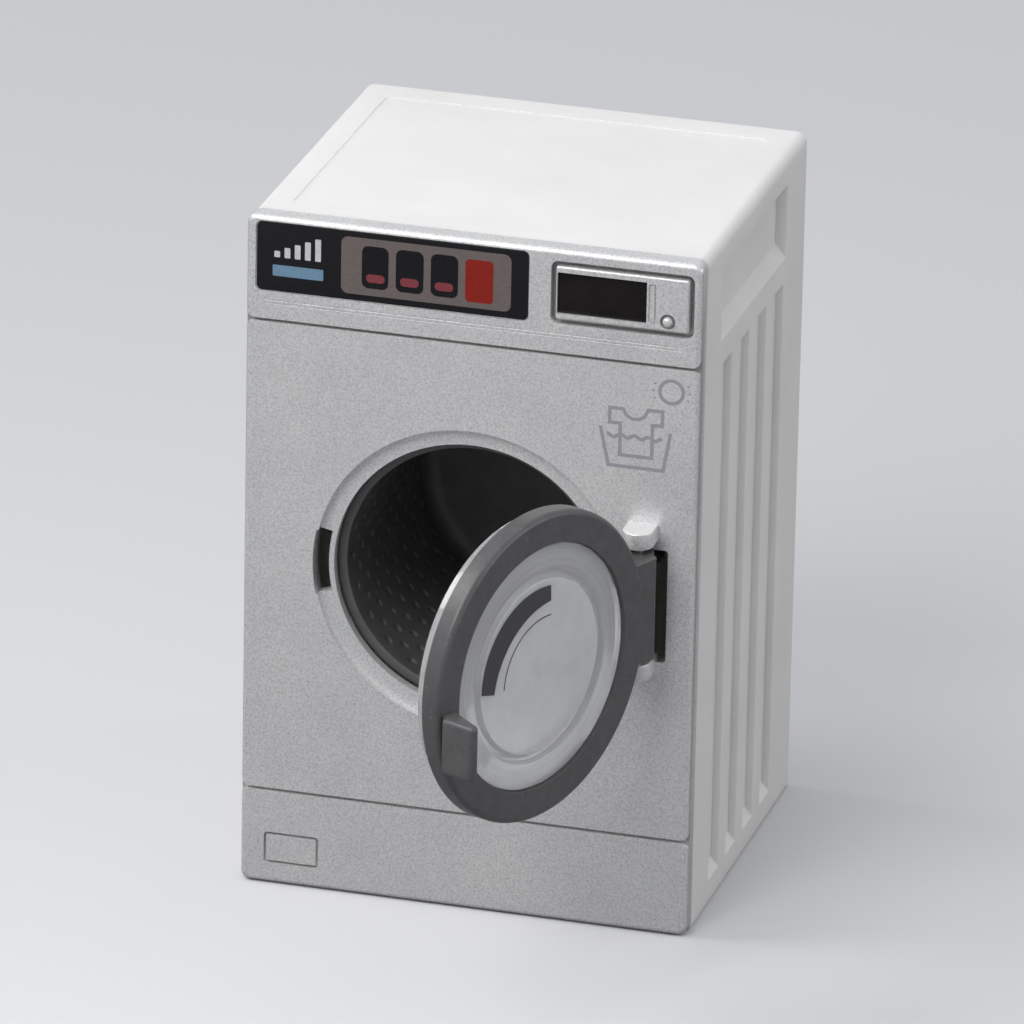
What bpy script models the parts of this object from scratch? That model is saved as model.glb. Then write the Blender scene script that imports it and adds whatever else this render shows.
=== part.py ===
"""Miniature washing machine with an open porthole door, in metres, +Z up.

The front faces -Y and the machine stands on z = 0, with the origin under its middle.
The door is drawn shut in its hinge's own frame, and the hinge then holds it open.
"""

import math

import bmesh
import bpy
from mathutils import Matrix, Vector

# Whole machine
body_width = 0.0390
body_depth = 0.0345
body_height = 0.0600

# Fits between neighbours
seam_gap = 0.00020
film_gap = 0.00005
run_gap = 0.00030
pin_gap = 0.00008
cut_over = 0.00100

# Front panel
panel_thick = 0.00165
panel_lift = 0.00010
panel_corner = 0.00080
panel_edge = 0.00045
rim_wall = 0.00090
rim_depth = 0.00090

# Lines that part the panel into three fields, the upper two placed from the top
line_width = 0.00030
line_depth = 0.00030
line_flare = 0.00070
control_line_drop = 0.00918
kick_line_height = 0.00865
ledge_drop = 0.00740
ledge_width = 0.00022
ledge_depth = 0.00007

# Porthole, as shares of the machine's height and width
porthole_height_share = 0.4962
porthole_radius_share = 0.3026
rebate_width = 0.00150
rebate_depth = 0.00075

# Latch slot across the rebate's left edge
latch_start = 0.00045
latch_over = 0.00015
latch_half_angle = math.radians(12.5)

# Control label and its bed, along the width as shares of it
label_left_share = 0.0231
label_width_share = 0.5974
label_height = 0.00600
label_top = 0.00055
label_corner = 0.00045
label_bed_depth = 0.00018
film_thick = 0.00010
bed_margin = 0.00012

# Display unit, along the width as shares of it
display_middle_share = 0.3269
display_width_share = 0.3141
display_drop = 0.00375
display_tall = 0.00550
display_corner = 0.00065
moat_width = 0.00042
moat_depth = 0.00060
display_rise = 0.00012
display_edge = 0.00022

# What the display unit holds, from its left end as shares of its width
window_left_share = 0.0450
window_width_share = 0.6286
window_tall = 0.00360
window_corner = 0.00020
window_bed_depth = 0.00030
bar_left_share = 0.6898
bar_width = 0.00060
bar_tall = 0.00340
bar_depth = 0.00018
bar_corner = 0.00015
knob_left_share = 0.8204
knob_drop = 0.00145
knob_radius = 0.00050
knob_rise = 0.00032
knob_round = 0.00015

# Filter cover pressed into the kick field
filter_left = 0.00205
filter_width = 0.00480
filter_low = 0.00195
filter_tall = 0.00280
filter_corner = 0.00035
filter_depth = 0.00030

# Hinge, just outside the door's rim
hinge_reach = 0.00167
hinge_forward = 0.00150
hinge_rise = 0.00053
lug_radius = 0.00130
lug_thick = 0.00140
lug_round = 0.00015
lug_span = 0.01030
pin_radius = 0.00045
pin_cover = 0.00035
hinge_slot_width = 0.00325
hinge_slot_tall = 0.01000
hinge_slot_right = 0.00218
hinge_slot_drop = 0.00070
hinge_slot_corner = 0.00030

# Door
door_rest_angle = math.radians(66)
ring_width = 0.00270
door_thick = 0.00170
door_forward = 0.00240
door_rim_round = 0.00050
door_rim_back = 0.00015
door_inner_edge = 0.00015
knuckle_radius = 0.00135
arm_top_gap = 0.00045
arm_foot_gap = 0.00100
arm_setback = 0.00008
arm_side = 0.00010
arm_corner = 0.00050
arm_reach = 0.00340
arm_heel = 0.00240
arm_back = 0.00080

# Door window, its steps as shares of the ring's inner radius and of the deepest step
glass_sink = 0.00035
glass_flange_inset = 0.00090
glass_flange_thick = 0.00110
glass_gap = 0.00012
glass_bowl_share = 0.8774
glass_bowl_rise = 0.00060
glass_step_depth = 0.00125
glass_step_shares = (
    (0.7736, 0.0),
    (0.7566, 0.256),
    (0.6811, 0.256),
    (0.5774, 0.760),
    (0.4528, 0.760),
    (0.4358, 0.896),
)

# Door handle, a fin that thins towards its tip
handle_inset = 0.00005
handle_root = 0.00220
handle_tip = 0.00090
handle_top = 0.00035
handle_tall = 0.00485
handle_rise = 0.00355
handle_gap = 0.00010
handle_edge = 0.00028
handle_undercut_width = 0.00050
handle_undercut_rise = 0.00040
handle_peg_radius = 0.00055
handle_peg_length = 0.00100

# Cabinet
side_wall = 0.00190
floor_wall = 0.00160
top_wall = 0.00160
cabinet_top_round = 0.00100
cabinet_foot_round = 0.00040
cabinet_back_round = 0.00060
top_bed_side = 0.00270
top_bed_front = 0.00195
top_bed_back = 0.00300
top_bed_depth = 0.00022
top_bed_corner = 0.00080

# Hand pocket and flutes in each side, along the depth as shares of it
pocket_length_share = 0.6174
pocket_drop = 0.00250
pocket_tall = 0.00650
pocket_depth = 0.00095
pocket_slope = 0.00120
pocket_lip = 0.00030
flute_count = 4
flute_pitch_share = 0.1638
flute_width_share = 0.0957
flute_low = 0.00230
flute_drop = 0.01120
flute_depth = 0.00065
flute_slope = 0.00090
flute_lip = 0.00030

# Corner posts and the pegs in them
post_size = 0.00400
post_bury = 0.00040
peg_radius = 0.00100
peg_length = 0.00450
peg_tip = 0.00025

# Back cover and the drum's bearing
back_thick = 0.00150
back_edge = 0.00020
boss_radius = 0.00270
boss_length = 0.00550

# Drum
drum_step = 0.00080
drum_wall = 0.00090
drum_floor = 0.00100
drum_inner_round = 0.00150
drum_outer_round = 0.00080
drum_lip = 0.00020
drum_plain_mouth = 0.00110
dimple_rows = 15
dimple_columns = 52
dimple_margin = 0.00026
dimple_depth = 0.00025
hub_radius = 0.00300
hub_length = 0.00120
spindle_radius = 0.00120
spindle_tip = 0.00020
spindle_seat = 0.00150

# An edge that turns by more than this is shaded, and rounded, as a sharp one
sharp_angle = math.radians(30)

# Counts of facets
turn_count = 48
pin_count = 16
peg_count = 12
boss_count = 24
lug_count = 8
latch_count = 6
round_count = 3
small_round_count = 2
top_round_count = 4
single_count = 1

# Places worked out from the sizes
half_turn = math.pi
quarter_turn = math.pi / 2
front_y = -body_depth / 2
panel_back_y = front_y + panel_thick
cabinet_front_y = panel_back_y + seam_gap
back_y = body_depth / 2
half_width = body_width / 2
control_line_height = body_height - control_line_drop
ledge_height = body_height - ledge_drop
porthole_height = body_height * porthole_height_share
porthole_radius = body_width * porthole_radius_share
rebate_radius = porthole_radius + rebate_width
latch_inner_radius = porthole_radius + latch_start
latch_outer_radius = rebate_radius + latch_over
label_width = body_width * label_width_share
label_across = body_width * (label_left_share + label_width_share / 2) - half_width
label_middle_height = body_height - label_top - label_height / 2
display_across = body_width * display_middle_share
display_width = body_width * display_width_share
display_height = body_height - display_drop
display_left = display_across - display_width / 2
window_width = display_width * window_width_share
window_across = display_left + display_width * window_left_share + window_width / 2
bar_across = display_left + display_width * bar_left_share + bar_width / 2
knob_across = display_left + display_width * knob_left_share
door_radius = rebate_radius
door_inner_radius = door_radius - ring_width
hinge_across = door_radius + hinge_reach
hinge_y = front_y - hinge_forward
hinge_height = porthole_height + hinge_rise
glass_flange_radius = door_radius - glass_flange_inset
glass_bowl_radius = door_inner_radius * glass_bowl_share
handle_outer = door_radius - handle_inset
handle_inner = handle_outer - handle_root
handle_peg_across = door_radius - ring_width / 2
bore_radius = pin_radius + pin_gap
pocket_high = body_height - pocket_drop
pocket_low = pocket_high - pocket_tall
pocket_length = body_depth * pocket_length_share
flute_high = body_height - flute_drop
flute_pitch = body_depth * flute_pitch_share
flute_width = body_depth * flute_width_share
post_bore_radius = peg_radius + film_gap
peg_across = half_width - side_wall - post_size / 2
peg_low = floor_wall + post_size / 2
peg_high = body_height - top_wall - post_size / 2
drum_mouth_radius = porthole_radius - drum_step
drum_radius = drum_mouth_radius + drum_wall
drum_mouth_y = panel_back_y + run_gap
back_inner_y = back_y - back_thick
drum_back = back_inner_y - boss_length - run_gap - drum_mouth_y
drum_length = drum_back - hub_length

BACKWARD = Matrix.Rotation(-quarter_turn, 4, "X")
TURNS = {"Y": BACKWARD, "Z": Matrix.Identity(4)}


# Tools


def clear_scene():
    for thing in list(bpy.data.objects):
        bpy.data.objects.remove(thing, do_unlink=True)


def new_collection(name):
    group = bpy.data.collections.new(name)
    bpy.context.scene.collection.children.link(group)
    return group


def finish(name, colour, roughness, metallic=0.0, clear=0.0):
    """A Principled material."""
    material = bpy.data.materials.new(name)
    material.use_nodes = True
    shader = material.node_tree.nodes["Principled BSDF"]
    shader.inputs["Base Color"].default_value = (*colour, 1)
    shader.inputs["Roughness"].default_value = roughness
    shader.inputs["Metallic"].default_value = metallic
    shader.inputs["Transmission Weight"].default_value = clear
    return material


def mesh_of(shape, name):
    """Turns a bmesh into a mesh with its faces pointing out."""
    bmesh.ops.recalc_face_normals(shape, faces=shape.faces)
    mesh = bpy.data.meshes.new(name)
    shape.to_mesh(mesh)
    shape.free()
    return mesh


def piece(name, mesh, material, parent=None):
    """A sub-part in the machine's own collection."""
    thing = bpy.data.objects.new(name, mesh)
    MACHINE.objects.link(thing)
    mesh.materials.append(material)
    thing.parent = parent
    return thing


def helper(name, mesh, parent=None):
    """A shape that is only cut from, or joined to, a sub-part."""
    thing = bpy.data.objects.new(name, mesh)
    CUTTERS.objects.link(thing)
    thing.hide_render = True
    thing.display_type = "WIRE"
    thing.parent = parent
    return thing


def combine(target, tool, operation):
    change = target.modifiers.new(tool.name, "BOOLEAN")
    change.operation = operation
    change.solver = "EXACT"
    change.object = tool


def cut(target, tool):
    combine(target, tool, "DIFFERENCE")


def join(target, tool):
    combine(target, tool, "UNION")


def block(low, high):
    """A box between two corners."""
    low, high = Vector(low), Vector(high)
    shape = bmesh.new()
    bmesh.ops.create_cube(shape, size=1)
    bmesh.ops.scale(shape, vec=high - low, verts=shape.verts)
    bmesh.ops.translate(shape, vec=(low + high) / 2, verts=shape.verts)
    return shape


def round_edges(shape, chosen, radius, steps):
    edges = [edge for edge in shape.edges if chosen(edge)]
    bmesh.ops.bevel(
        shape,
        geom=edges,
        offset=radius,
        offset_type="OFFSET",
        segments=steps,
        profile=0.5,
        affect="EDGES",
        clamp_overlap=True,
    )


def along(point, axis):
    return point["XYZ".index(axis)]


def runs_along(axis):
    """Chooses the edges parallel to an axis."""
    across = Vector([other != axis for other in "XYZ"])

    def chosen(edge):
        return ((edge.verts[1].co - edge.verts[0].co) * across).length < film_gap

    return chosen


def lies_at(axis, place):
    """Chooses the edges in a plane across an axis."""

    def chosen(edge):
        return all(abs(along(end.co, axis) - place) < film_gap for end in edge.verts)

    return chosen


def sharp_away_from(axis, place):
    """Chooses the sharp edges that don't lie in a plane across an axis."""
    in_plane = lies_at(axis, place)

    def chosen(edge):
        return edge.calc_face_angle() > sharp_angle and not in_plane(edge)

    return chosen


def rod(axis, centre, start, end, radius, sides):
    """A cylinder along an axis, from start to end on it."""
    shape = bmesh.new()
    bmesh.ops.create_cone(
        shape,
        cap_ends=True,
        segments=sides,
        radius1=radius,
        radius2=radius,
        depth=end - start,
    )
    middle = Vector(centre)
    middle["XYZ".index(axis)] = (start + end) / 2
    bmesh.ops.transform(shape, matrix=Matrix.Translation(middle) @ TURNS[axis], verts=shape.verts)
    return shape


def outline_solid(name, points, thickness):
    """A flat outline in its own XY plane, thickened evenly to both sides."""
    curve = bpy.data.curves.new(name, "CURVE")
    curve.dimensions = "2D"
    curve.fill_mode = "BOTH"
    curve.extrude = thickness / 2
    line = curve.splines.new("POLY")
    line.points.add(len(points) - 1)
    for corner, (across, up) in zip(line.points, points):
        corner.co = (across, up, 0, 1)
    line.use_cyclic_u = True
    guide = bpy.data.objects.new(name, curve)
    CUTTERS.objects.link(guide)
    bpy.context.view_layer.update()
    graph = bpy.context.evaluated_depsgraph_get()
    flat = bpy.data.meshes.new_from_object(guide.evaluated_get(graph))
    bpy.data.objects.remove(guide)
    shape = bmesh.new()
    shape.from_mesh(flat)
    bpy.data.meshes.remove(flat)
    bmesh.ops.remove_doubles(shape, verts=shape.verts, dist=film_gap / 10)
    return mesh_of(shape, name)


def arc(centre, radius, start, end, steps):
    """Points on an arc, both ends among them."""
    angles = [start + (end - start) * step / steps for step in range(steps + 1)]
    return [
        (centre[0] + radius * math.cos(angle), centre[1] + radius * math.sin(angle))
        for angle in angles
    ]


def turned(name, profile, closed=False):
    """A profile of (radius, height) points, run down its outer side, to be turned about Z."""
    mesh = bpy.data.meshes.new(name)
    points = [(radius, 0, height) for radius, height in profile]
    edges = [(index, index + 1) for index in range(len(points) - 1)]
    if closed:
        edges.append((len(points) - 1, 0))
    mesh.from_pydata(points, edges, [])
    return mesh


def turn(thing, steps=turn_count):
    change = thing.modifiers.new("turn", "SCREW")
    change.steps = steps
    change.render_steps = steps
    change.use_merge_vertices = True
    change.merge_threshold = 0.000001
    change.use_smooth_shade = True


def spun(profile, steps):
    """A profile turned about Z at once, for a shape whose faces are worked on further."""
    shape = bmesh.new()
    ends = [shape.verts.new((radius, 0, height)) for radius, height in profile]
    edges = [shape.edges.new(pair) for pair in zip(ends, ends[1:])]
    bmesh.ops.spin(
        shape,
        geom=ends + edges,
        cent=(0, 0, 0),
        axis=(0, 0, 1),
        angle=math.tau,
        steps=steps,
        use_merge=True,
    )
    bmesh.ops.remove_doubles(shape, verts=shape.verts, dist=film_gap / 10)
    return shape


def shade(thing):
    """Smooth shading that keeps the sharp edges."""
    mesh = thing.data
    if mesh.polygons:
        mesh.shade_smooth()
        mesh.set_sharp_from_angle(angle=sharp_angle)


def pressed_field(middle, size, depth_from, depth_to, corner):
    """A rounded field in the panel's face, between two depths behind it."""
    (across, up), (wide, tall) = middle, size
    shape = block(
        (across - wide / 2, front_y + depth_from, up - tall / 2),
        (across + wide / 2, front_y + depth_to, up + tall / 2),
    )
    round_edges(shape, runs_along("Y"), corner, round_count)
    return shape


# Front panel


def inside_cabinet(inset, start, end):
    """A block that stands this far in from the cabinet's inner walls."""
    return block(
        (side_wall + inset - half_width, start, floor_wall + inset),
        (half_width - side_wall - inset, end, body_height - top_wall - inset),
    )


def locating_rim():
    """The frame behind the panel that fits inside the cabinet's walls."""
    start, end = panel_back_y - panel_thick / 2, panel_back_y + rim_depth
    rim = helper("rim", mesh_of(inside_cabinet(seam_gap, start, end), "rim"))
    middle = inside_cabinet(seam_gap + rim_wall, start - cut_over, end + cut_over)
    cut(rim, helper("rim_middle", mesh_of(middle, "rim_middle")))
    return rim


def field_line(name, height):
    """The narrow line between two fields, whose corners it rounds where it meets the sides."""
    reach = half_width + cut_over
    half = line_width / 2
    turn_x = half_width - line_flare
    top, low = height + half + line_flare, height - half - line_flare
    points = arc((turn_x, top), line_flare, -quarter_turn, 0, round_count)
    points += [(reach, top), (reach, low)]
    points += arc((turn_x, low), line_flare, 0, quarter_turn, round_count)
    points += arc((-turn_x, low), line_flare, quarter_turn, half_turn, round_count)
    points += [(-reach, low), (-reach, top)]
    points += arc((-turn_x, top), line_flare, -half_turn, -quarter_turn, round_count)
    thickness = line_depth + cut_over
    cutter = helper(name, outline_solid(name, points, thickness))
    cutter.rotation_euler = (quarter_turn, 0, 0)
    cutter.location = (0, front_y + line_depth - thickness / 2, 0)
    return cutter


def latch_slot():
    """The curved slot in the left edge of the rebate."""
    start, end = half_turn - latch_half_angle, half_turn + latch_half_angle
    points = arc((0, 0), latch_outer_radius, start, end, latch_count)
    points += arc((0, 0), latch_inner_radius, end, start, latch_count)
    thickness = panel_thick + 2 * cut_over
    cutter = helper("latch_slot", outline_solid("latch_slot", points, thickness))
    cutter.rotation_euler = (quarter_turn, 0, 0)
    cutter.location = (0, front_y + panel_thick / 2, porthole_height)
    return cutter


def lug(name, low):
    """A round-nosed lug that stands out of the panel and holds one end of the hinge pin."""
    root = hinge_forward + panel_thick / 2
    points = arc((0, 0), lug_radius, -half_turn, 0, lug_count)
    points += [(lug_radius, root), (-lug_radius, root)]
    mesh = outline_solid(name, points, lug_thick)
    shape = bmesh.new()
    shape.from_mesh(mesh)
    round_edges(shape, lies_at("Z", lug_thick / 2), lug_round, small_round_count)
    shape.to_mesh(mesh)
    shape.free()
    tool = helper(name, mesh)
    tool.location = (hinge_across, hinge_y, low + lug_thick / 2)
    return tool


def lug_heights():
    """The lower faces of the two lugs."""
    return hinge_height - lug_span / 2 - lug_thick, hinge_height + lug_span / 2


def pin_ends():
    low, high = lug_heights()
    return low + film_gap, high + lug_thick - pin_cover


def front_panel(material):
    shape = block(
        (-half_width, front_y, panel_lift),
        (half_width, panel_back_y, body_height),
    )
    round_edges(shape, runs_along("Y"), panel_corner, round_count)
    round_edges(shape, lies_at("Y", front_y), panel_edge, round_count)
    panel = piece("front_panel", mesh_of(shape, "front_panel"), material)
    join(panel, locating_rim())
    for number, (across, up) in enumerate(peg_places()):
        peg = rod("Y", (across, 0, up), panel_back_y - panel_thick / 2,
                  panel_back_y + peg_length, peg_radius, peg_count)
        round_edges(peg, lies_at("Y", panel_back_y + peg_length), peg_tip, single_count)
        join(panel, helper(f"panel_peg_{number}", mesh_of(peg, "panel_peg")))

    cut(panel, field_line("control_line", control_line_height))
    cut(panel, field_line("kick_line", kick_line_height))
    ledge = block(
        (-half_width - cut_over, front_y - cut_over, ledge_height - ledge_width / 2),
        (half_width + cut_over, front_y + ledge_depth, ledge_height + ledge_width / 2),
    )
    cut(panel, helper("ledge_line", mesh_of(ledge, "ledge_line")))

    bed = pressed_field(
        (label_across, label_middle_height),
        (label_width + 2 * bed_margin, label_height + 2 * bed_margin),
        -cut_over,
        label_bed_depth,
        label_corner + bed_margin,
    )
    cut(panel, helper("label_bed", mesh_of(bed, "label_bed")))

    moat = pressed_field(
        (display_across, display_height),
        (display_width, display_tall),
        -cut_over,
        moat_depth,
        display_corner,
    )
    cut(panel, helper("display_moat", mesh_of(moat, "display_moat")))
    island = pressed_field(
        (display_across, display_height),
        (display_width - 2 * moat_width, display_tall - 2 * moat_width),
        -display_rise,
        moat_depth + film_gap,
        display_corner - moat_width,
    )
    round_edges(island, lies_at("Y", front_y - display_rise), display_edge, small_round_count)
    join(panel, helper("display_island", mesh_of(island, "display_island")))
    window = pressed_field(
        (window_across, display_height),
        (window_width + 2 * film_gap, window_tall + 2 * film_gap),
        -cut_over,
        window_bed_depth,
        window_corner,
    )
    cut(panel, helper("window_bed", mesh_of(window, "window_bed")))
    bar = pressed_field(
        (bar_across, display_height),
        (bar_width, bar_tall),
        -cut_over,
        bar_depth - display_rise,
        bar_corner,
    )
    cut(panel, helper("display_bar", mesh_of(bar, "display_bar")))
    knob = rod("Y", (knob_across, 0, display_height - knob_drop),
               front_y - display_rise - knob_rise,
               front_y + moat_depth / 2, knob_radius, peg_count)
    round_edges(knob, lies_at("Y", front_y - display_rise - knob_rise), knob_round, single_count)
    join(panel, helper("display_knob", mesh_of(knob, "display_knob")))

    cover = pressed_field(
        (filter_left + filter_width / 2 - half_width, filter_low + filter_tall / 2),
        (filter_width, filter_tall),
        -cut_over,
        filter_depth,
        filter_corner,
    )
    cut(panel, helper("filter_cover", mesh_of(cover, "filter_cover")))

    hole = rod("Y", (0, 0, porthole_height), front_y - cut_over, panel_back_y + cut_over,
               porthole_radius, turn_count)
    cut(panel, helper("porthole", mesh_of(hole, "porthole")))
    rebate = rod("Y", (0, 0, porthole_height), front_y - cut_over, front_y + rebate_depth,
                 rebate_radius, turn_count)
    cut(panel, helper("rebate", mesh_of(rebate, "rebate")))
    cut(panel, latch_slot())

    slot_right = hinge_across + hinge_slot_right
    slot_middle = hinge_height - hinge_slot_drop
    slot = block(
        (slot_right - hinge_slot_width, front_y - cut_over, slot_middle - hinge_slot_tall / 2),
        (slot_right, panel_back_y + cut_over, slot_middle + hinge_slot_tall / 2),
    )
    round_edges(slot, runs_along("Y"), hinge_slot_corner, single_count)
    cut(panel, helper("hinge_slot", mesh_of(slot, "hinge_slot")))

    pin_low, pin_high = pin_ends()
    bore = rod("Z", (hinge_across, hinge_y, 0), pin_low - cut_over, pin_high + film_gap,
               bore_radius, pin_count)
    bore = helper("lug_bore", mesh_of(bore, "lug_bore"))
    low, high = lug_heights()
    for name, height in (("lower_lug", low), ("upper_lug", high)):
        holder = lug(name, height)
        cut(holder, bore)
        join(panel, holder)
    return panel


def peg_places():
    return [
        (side * peg_across, height) for side in (-1, 1) for height in (peg_low, peg_high)
    ]


def control_label(material):
    shape = pressed_field(
        (label_across, label_middle_height),
        (label_width, label_height),
        label_bed_depth - film_gap - film_thick,
        label_bed_depth - film_gap,
        label_corner,
    )
    return piece("control_label", mesh_of(shape, "control_label"), material)


def display_window(material):
    shape = pressed_field(
        (window_across, display_height),
        (window_width, window_tall),
        window_bed_depth - film_gap - film_thick,
        window_bed_depth - film_gap,
        window_corner,
    )
    return piece("display_window", mesh_of(shape, "display_window"), material)


# Cabinet


def side_hollow(name, side, middle, length, low, high, depth, slope, lip):
    """A hollow pressed into one side, whose floor end runs out on a slope."""
    inner, outer = half_width - depth, half_width + cut_over
    run_out = slope * cut_over / depth
    points = [
        (side * inner, low + slope),
        (side * outer, low - run_out),
        (side * outer, high + lip * cut_over / depth),
        (side * inner, high - lip),
    ]
    cutter = helper(name, outline_solid(name, points, length))
    cutter.rotation_euler = (quarter_turn, 0, 0)
    cutter.location = (0, middle, 0)
    return cutter


def spread(place, middle):
    """The two faces of a post, the one away from the middle buried in the wall."""
    away = math.copysign(1, place - middle)
    return place - away * post_size / 2, place + away * (post_size / 2 + post_bury)


def cabinet_shell(material):
    shape = block(
        (-half_width, cabinet_front_y, 0),
        (half_width, back_y, body_height),
    )
    along = runs_along("Y")
    round_edges(
        shape,
        lambda edge: along(edge) and edge.verts[0].co.z > body_height / 2,
        cabinet_top_round,
        top_round_count,
    )
    round_edges(
        shape,
        lambda edge: along(edge) and edge.verts[0].co.z < body_height / 4,
        cabinet_foot_round,
        small_round_count,
    )
    round_edges(shape, lies_at("Y", back_y), cabinet_back_round, small_round_count)
    shell = piece("cabinet_shell", mesh_of(shape, "cabinet_shell"), material)

    hollow = inside_cabinet(0, cabinet_front_y - cut_over, back_y + cut_over)
    cut(shell, helper("cabinet_hollow", mesh_of(hollow, "cabinet_hollow")))

    for number, (across, up) in enumerate(peg_places()):
        inner_x, outer_x = sorted(spread(across, 0))
        inner_z, outer_z = sorted(spread(up, body_height / 2))
        post = block(
            (inner_x, panel_back_y + rim_depth + seam_gap, inner_z),
            (outer_x, back_inner_y - seam_gap, outer_z),
        )
        join(shell, helper(f"post_{number}", mesh_of(post, "post")))
        bore = rod("Y", (across, 0, up), cabinet_front_y - cut_over, back_y + cut_over,
                   post_bore_radius, peg_count)
        cut(shell, helper(f"post_bore_{number}", mesh_of(bore, "post_bore")))

    bed = block(
        (top_bed_side - half_width, cabinet_front_y + top_bed_front, body_height - top_bed_depth),
        (half_width - top_bed_side, back_y - top_bed_back, body_height + cut_over),
    )
    round_edges(bed, runs_along("Z"), top_bed_corner, round_count)
    cut(shell, helper("top_bed", mesh_of(bed, "top_bed")))

    for side in (-1, 1):
        label = "left" if side < 0 else "right"
        cut(shell, side_hollow(f"{label}_pocket", side, 0, pocket_length, pocket_low,
                               pocket_high, pocket_depth, pocket_slope, pocket_lip))
        for number in range(flute_count):
            middle = (number - (flute_count - 1) / 2) * flute_pitch
            cut(shell, side_hollow(f"{label}_flute_{number}", side, middle, flute_width,
                                   flute_low, flute_high, flute_depth, flute_slope, flute_lip))
    return shell


def back_cover(material):
    shape = inside_cabinet(seam_gap, back_inner_y, back_y)
    round_edges(shape, lies_at("Y", back_y), back_edge, single_count)
    cover = piece("back_cover", mesh_of(shape, "back_cover"), material)
    for number, (across, up) in enumerate(peg_places()):
        peg = rod("Y", (across, 0, up), back_inner_y - peg_length,
                  back_inner_y + back_thick / 2, peg_radius, peg_count)
        round_edges(peg, lies_at("Y", back_inner_y - peg_length), peg_tip, single_count)
        join(cover, helper(f"back_peg_{number}", mesh_of(peg, "back_peg")))
    boss = rod("Y", (0, 0, porthole_height), back_inner_y - boss_length,
               back_inner_y + back_thick / 2, boss_radius, boss_count)
    join(cover, helper("bearing_boss", mesh_of(boss, "bearing_boss")))
    bore = rod("Y", (0, 0, porthole_height), back_inner_y - boss_length - cut_over,
               back_inner_y, spindle_radius + pin_gap, pin_count)
    cut(cover, helper("bearing_bore", mesh_of(bore, "bearing_bore")))
    return cover


# Drum


def wall_rows():
    """Heights of the rows of dimples, from the mouth to the start of the floor's fillet."""
    first = drum_plain_mouth
    last = drum_length - drum_floor - drum_inner_round
    return [first + (last - first) * row / dimple_rows for row in range(dimple_rows + 1)]


def press_dimples(shape):
    """Presses every other cell of the inner wall into the wall, like a chessboard."""
    rows = wall_rows()
    flat = drum_mouth_radius * math.cos(math.pi / dimple_columns)
    chosen = []
    for face in shape.faces:
        centre = face.calc_center_median()
        if abs(centre.xy.length - flat) > film_gap or not rows[0] < centre.z < rows[-1]:
            continue
        row = sum(height < centre.z for height in rows)
        column = math.floor(math.atan2(centre.y, centre.x) * dimple_columns / math.tau)
        if (row + column) % 2 == 0:
            chosen.append(face)
    bmesh.ops.recalc_face_normals(shape, faces=shape.faces)
    bmesh.ops.inset_individual(
        shape,
        faces=chosen,
        thickness=dimple_margin,
        depth=-dimple_depth,
        use_even_offset=True,
    )


def drum(material, axis):
    inner_floor = drum_length - drum_floor
    fillet = arc(
        (drum_mouth_radius - drum_inner_round, inner_floor - drum_inner_round),
        drum_inner_round, 0, quarter_turn, round_count,
    )
    shoulder = arc(
        (drum_radius - drum_outer_round, drum_length - drum_outer_round),
        drum_outer_round, quarter_turn, 0, small_round_count,
    )
    seat = spindle_radius + film_gap
    profile = [(0, drum_back - spindle_seat), (seat, drum_back - spindle_seat)]
    profile += [(seat, drum_back), (hub_radius, drum_back), (hub_radius, drum_length)]
    profile += shoulder
    profile += [(drum_radius, drum_lip), (drum_radius - drum_lip, 0)]
    profile += [(drum_mouth_radius + drum_lip, 0), (drum_mouth_radius, drum_lip)]
    profile += [(drum_mouth_radius, height) for height in wall_rows()[:-1]]
    profile += fillet
    profile += [(0, inner_floor)]
    shape = spun(profile, dimple_columns)
    press_dimples(shape)
    cup = piece("drum", mesh_of(shape, "drum"), material, axis)
    cup.matrix_local = BACKWARD
    return cup


def drum_spindle(material, axis):
    """A plain steel spindle, from the hub into the bearing boss."""
    start = drum_back - spindle_seat + film_gap
    end = back_inner_y - run_gap - drum_mouth_y
    side = spindle_radius - spindle_tip
    profile = [(0, end), (side, end), (spindle_radius, end - spindle_tip)]
    profile += [(spindle_radius, start + spindle_tip), (side, start), (0, start)]
    rod_piece = piece("drum_spindle", turned("drum_spindle", profile), material, axis)
    rod_piece.matrix_local = BACKWARD
    turn(rod_piece, pin_count)
    return rod_piece


# Door, drawn shut in the hinge's frame


def door_place():
    """The middle of the door's front face, seen from the hinge, turned to face forward."""
    return Matrix.Translation((-hinge_across, -door_forward, -hinge_rise)) @ BACKWARD


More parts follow.
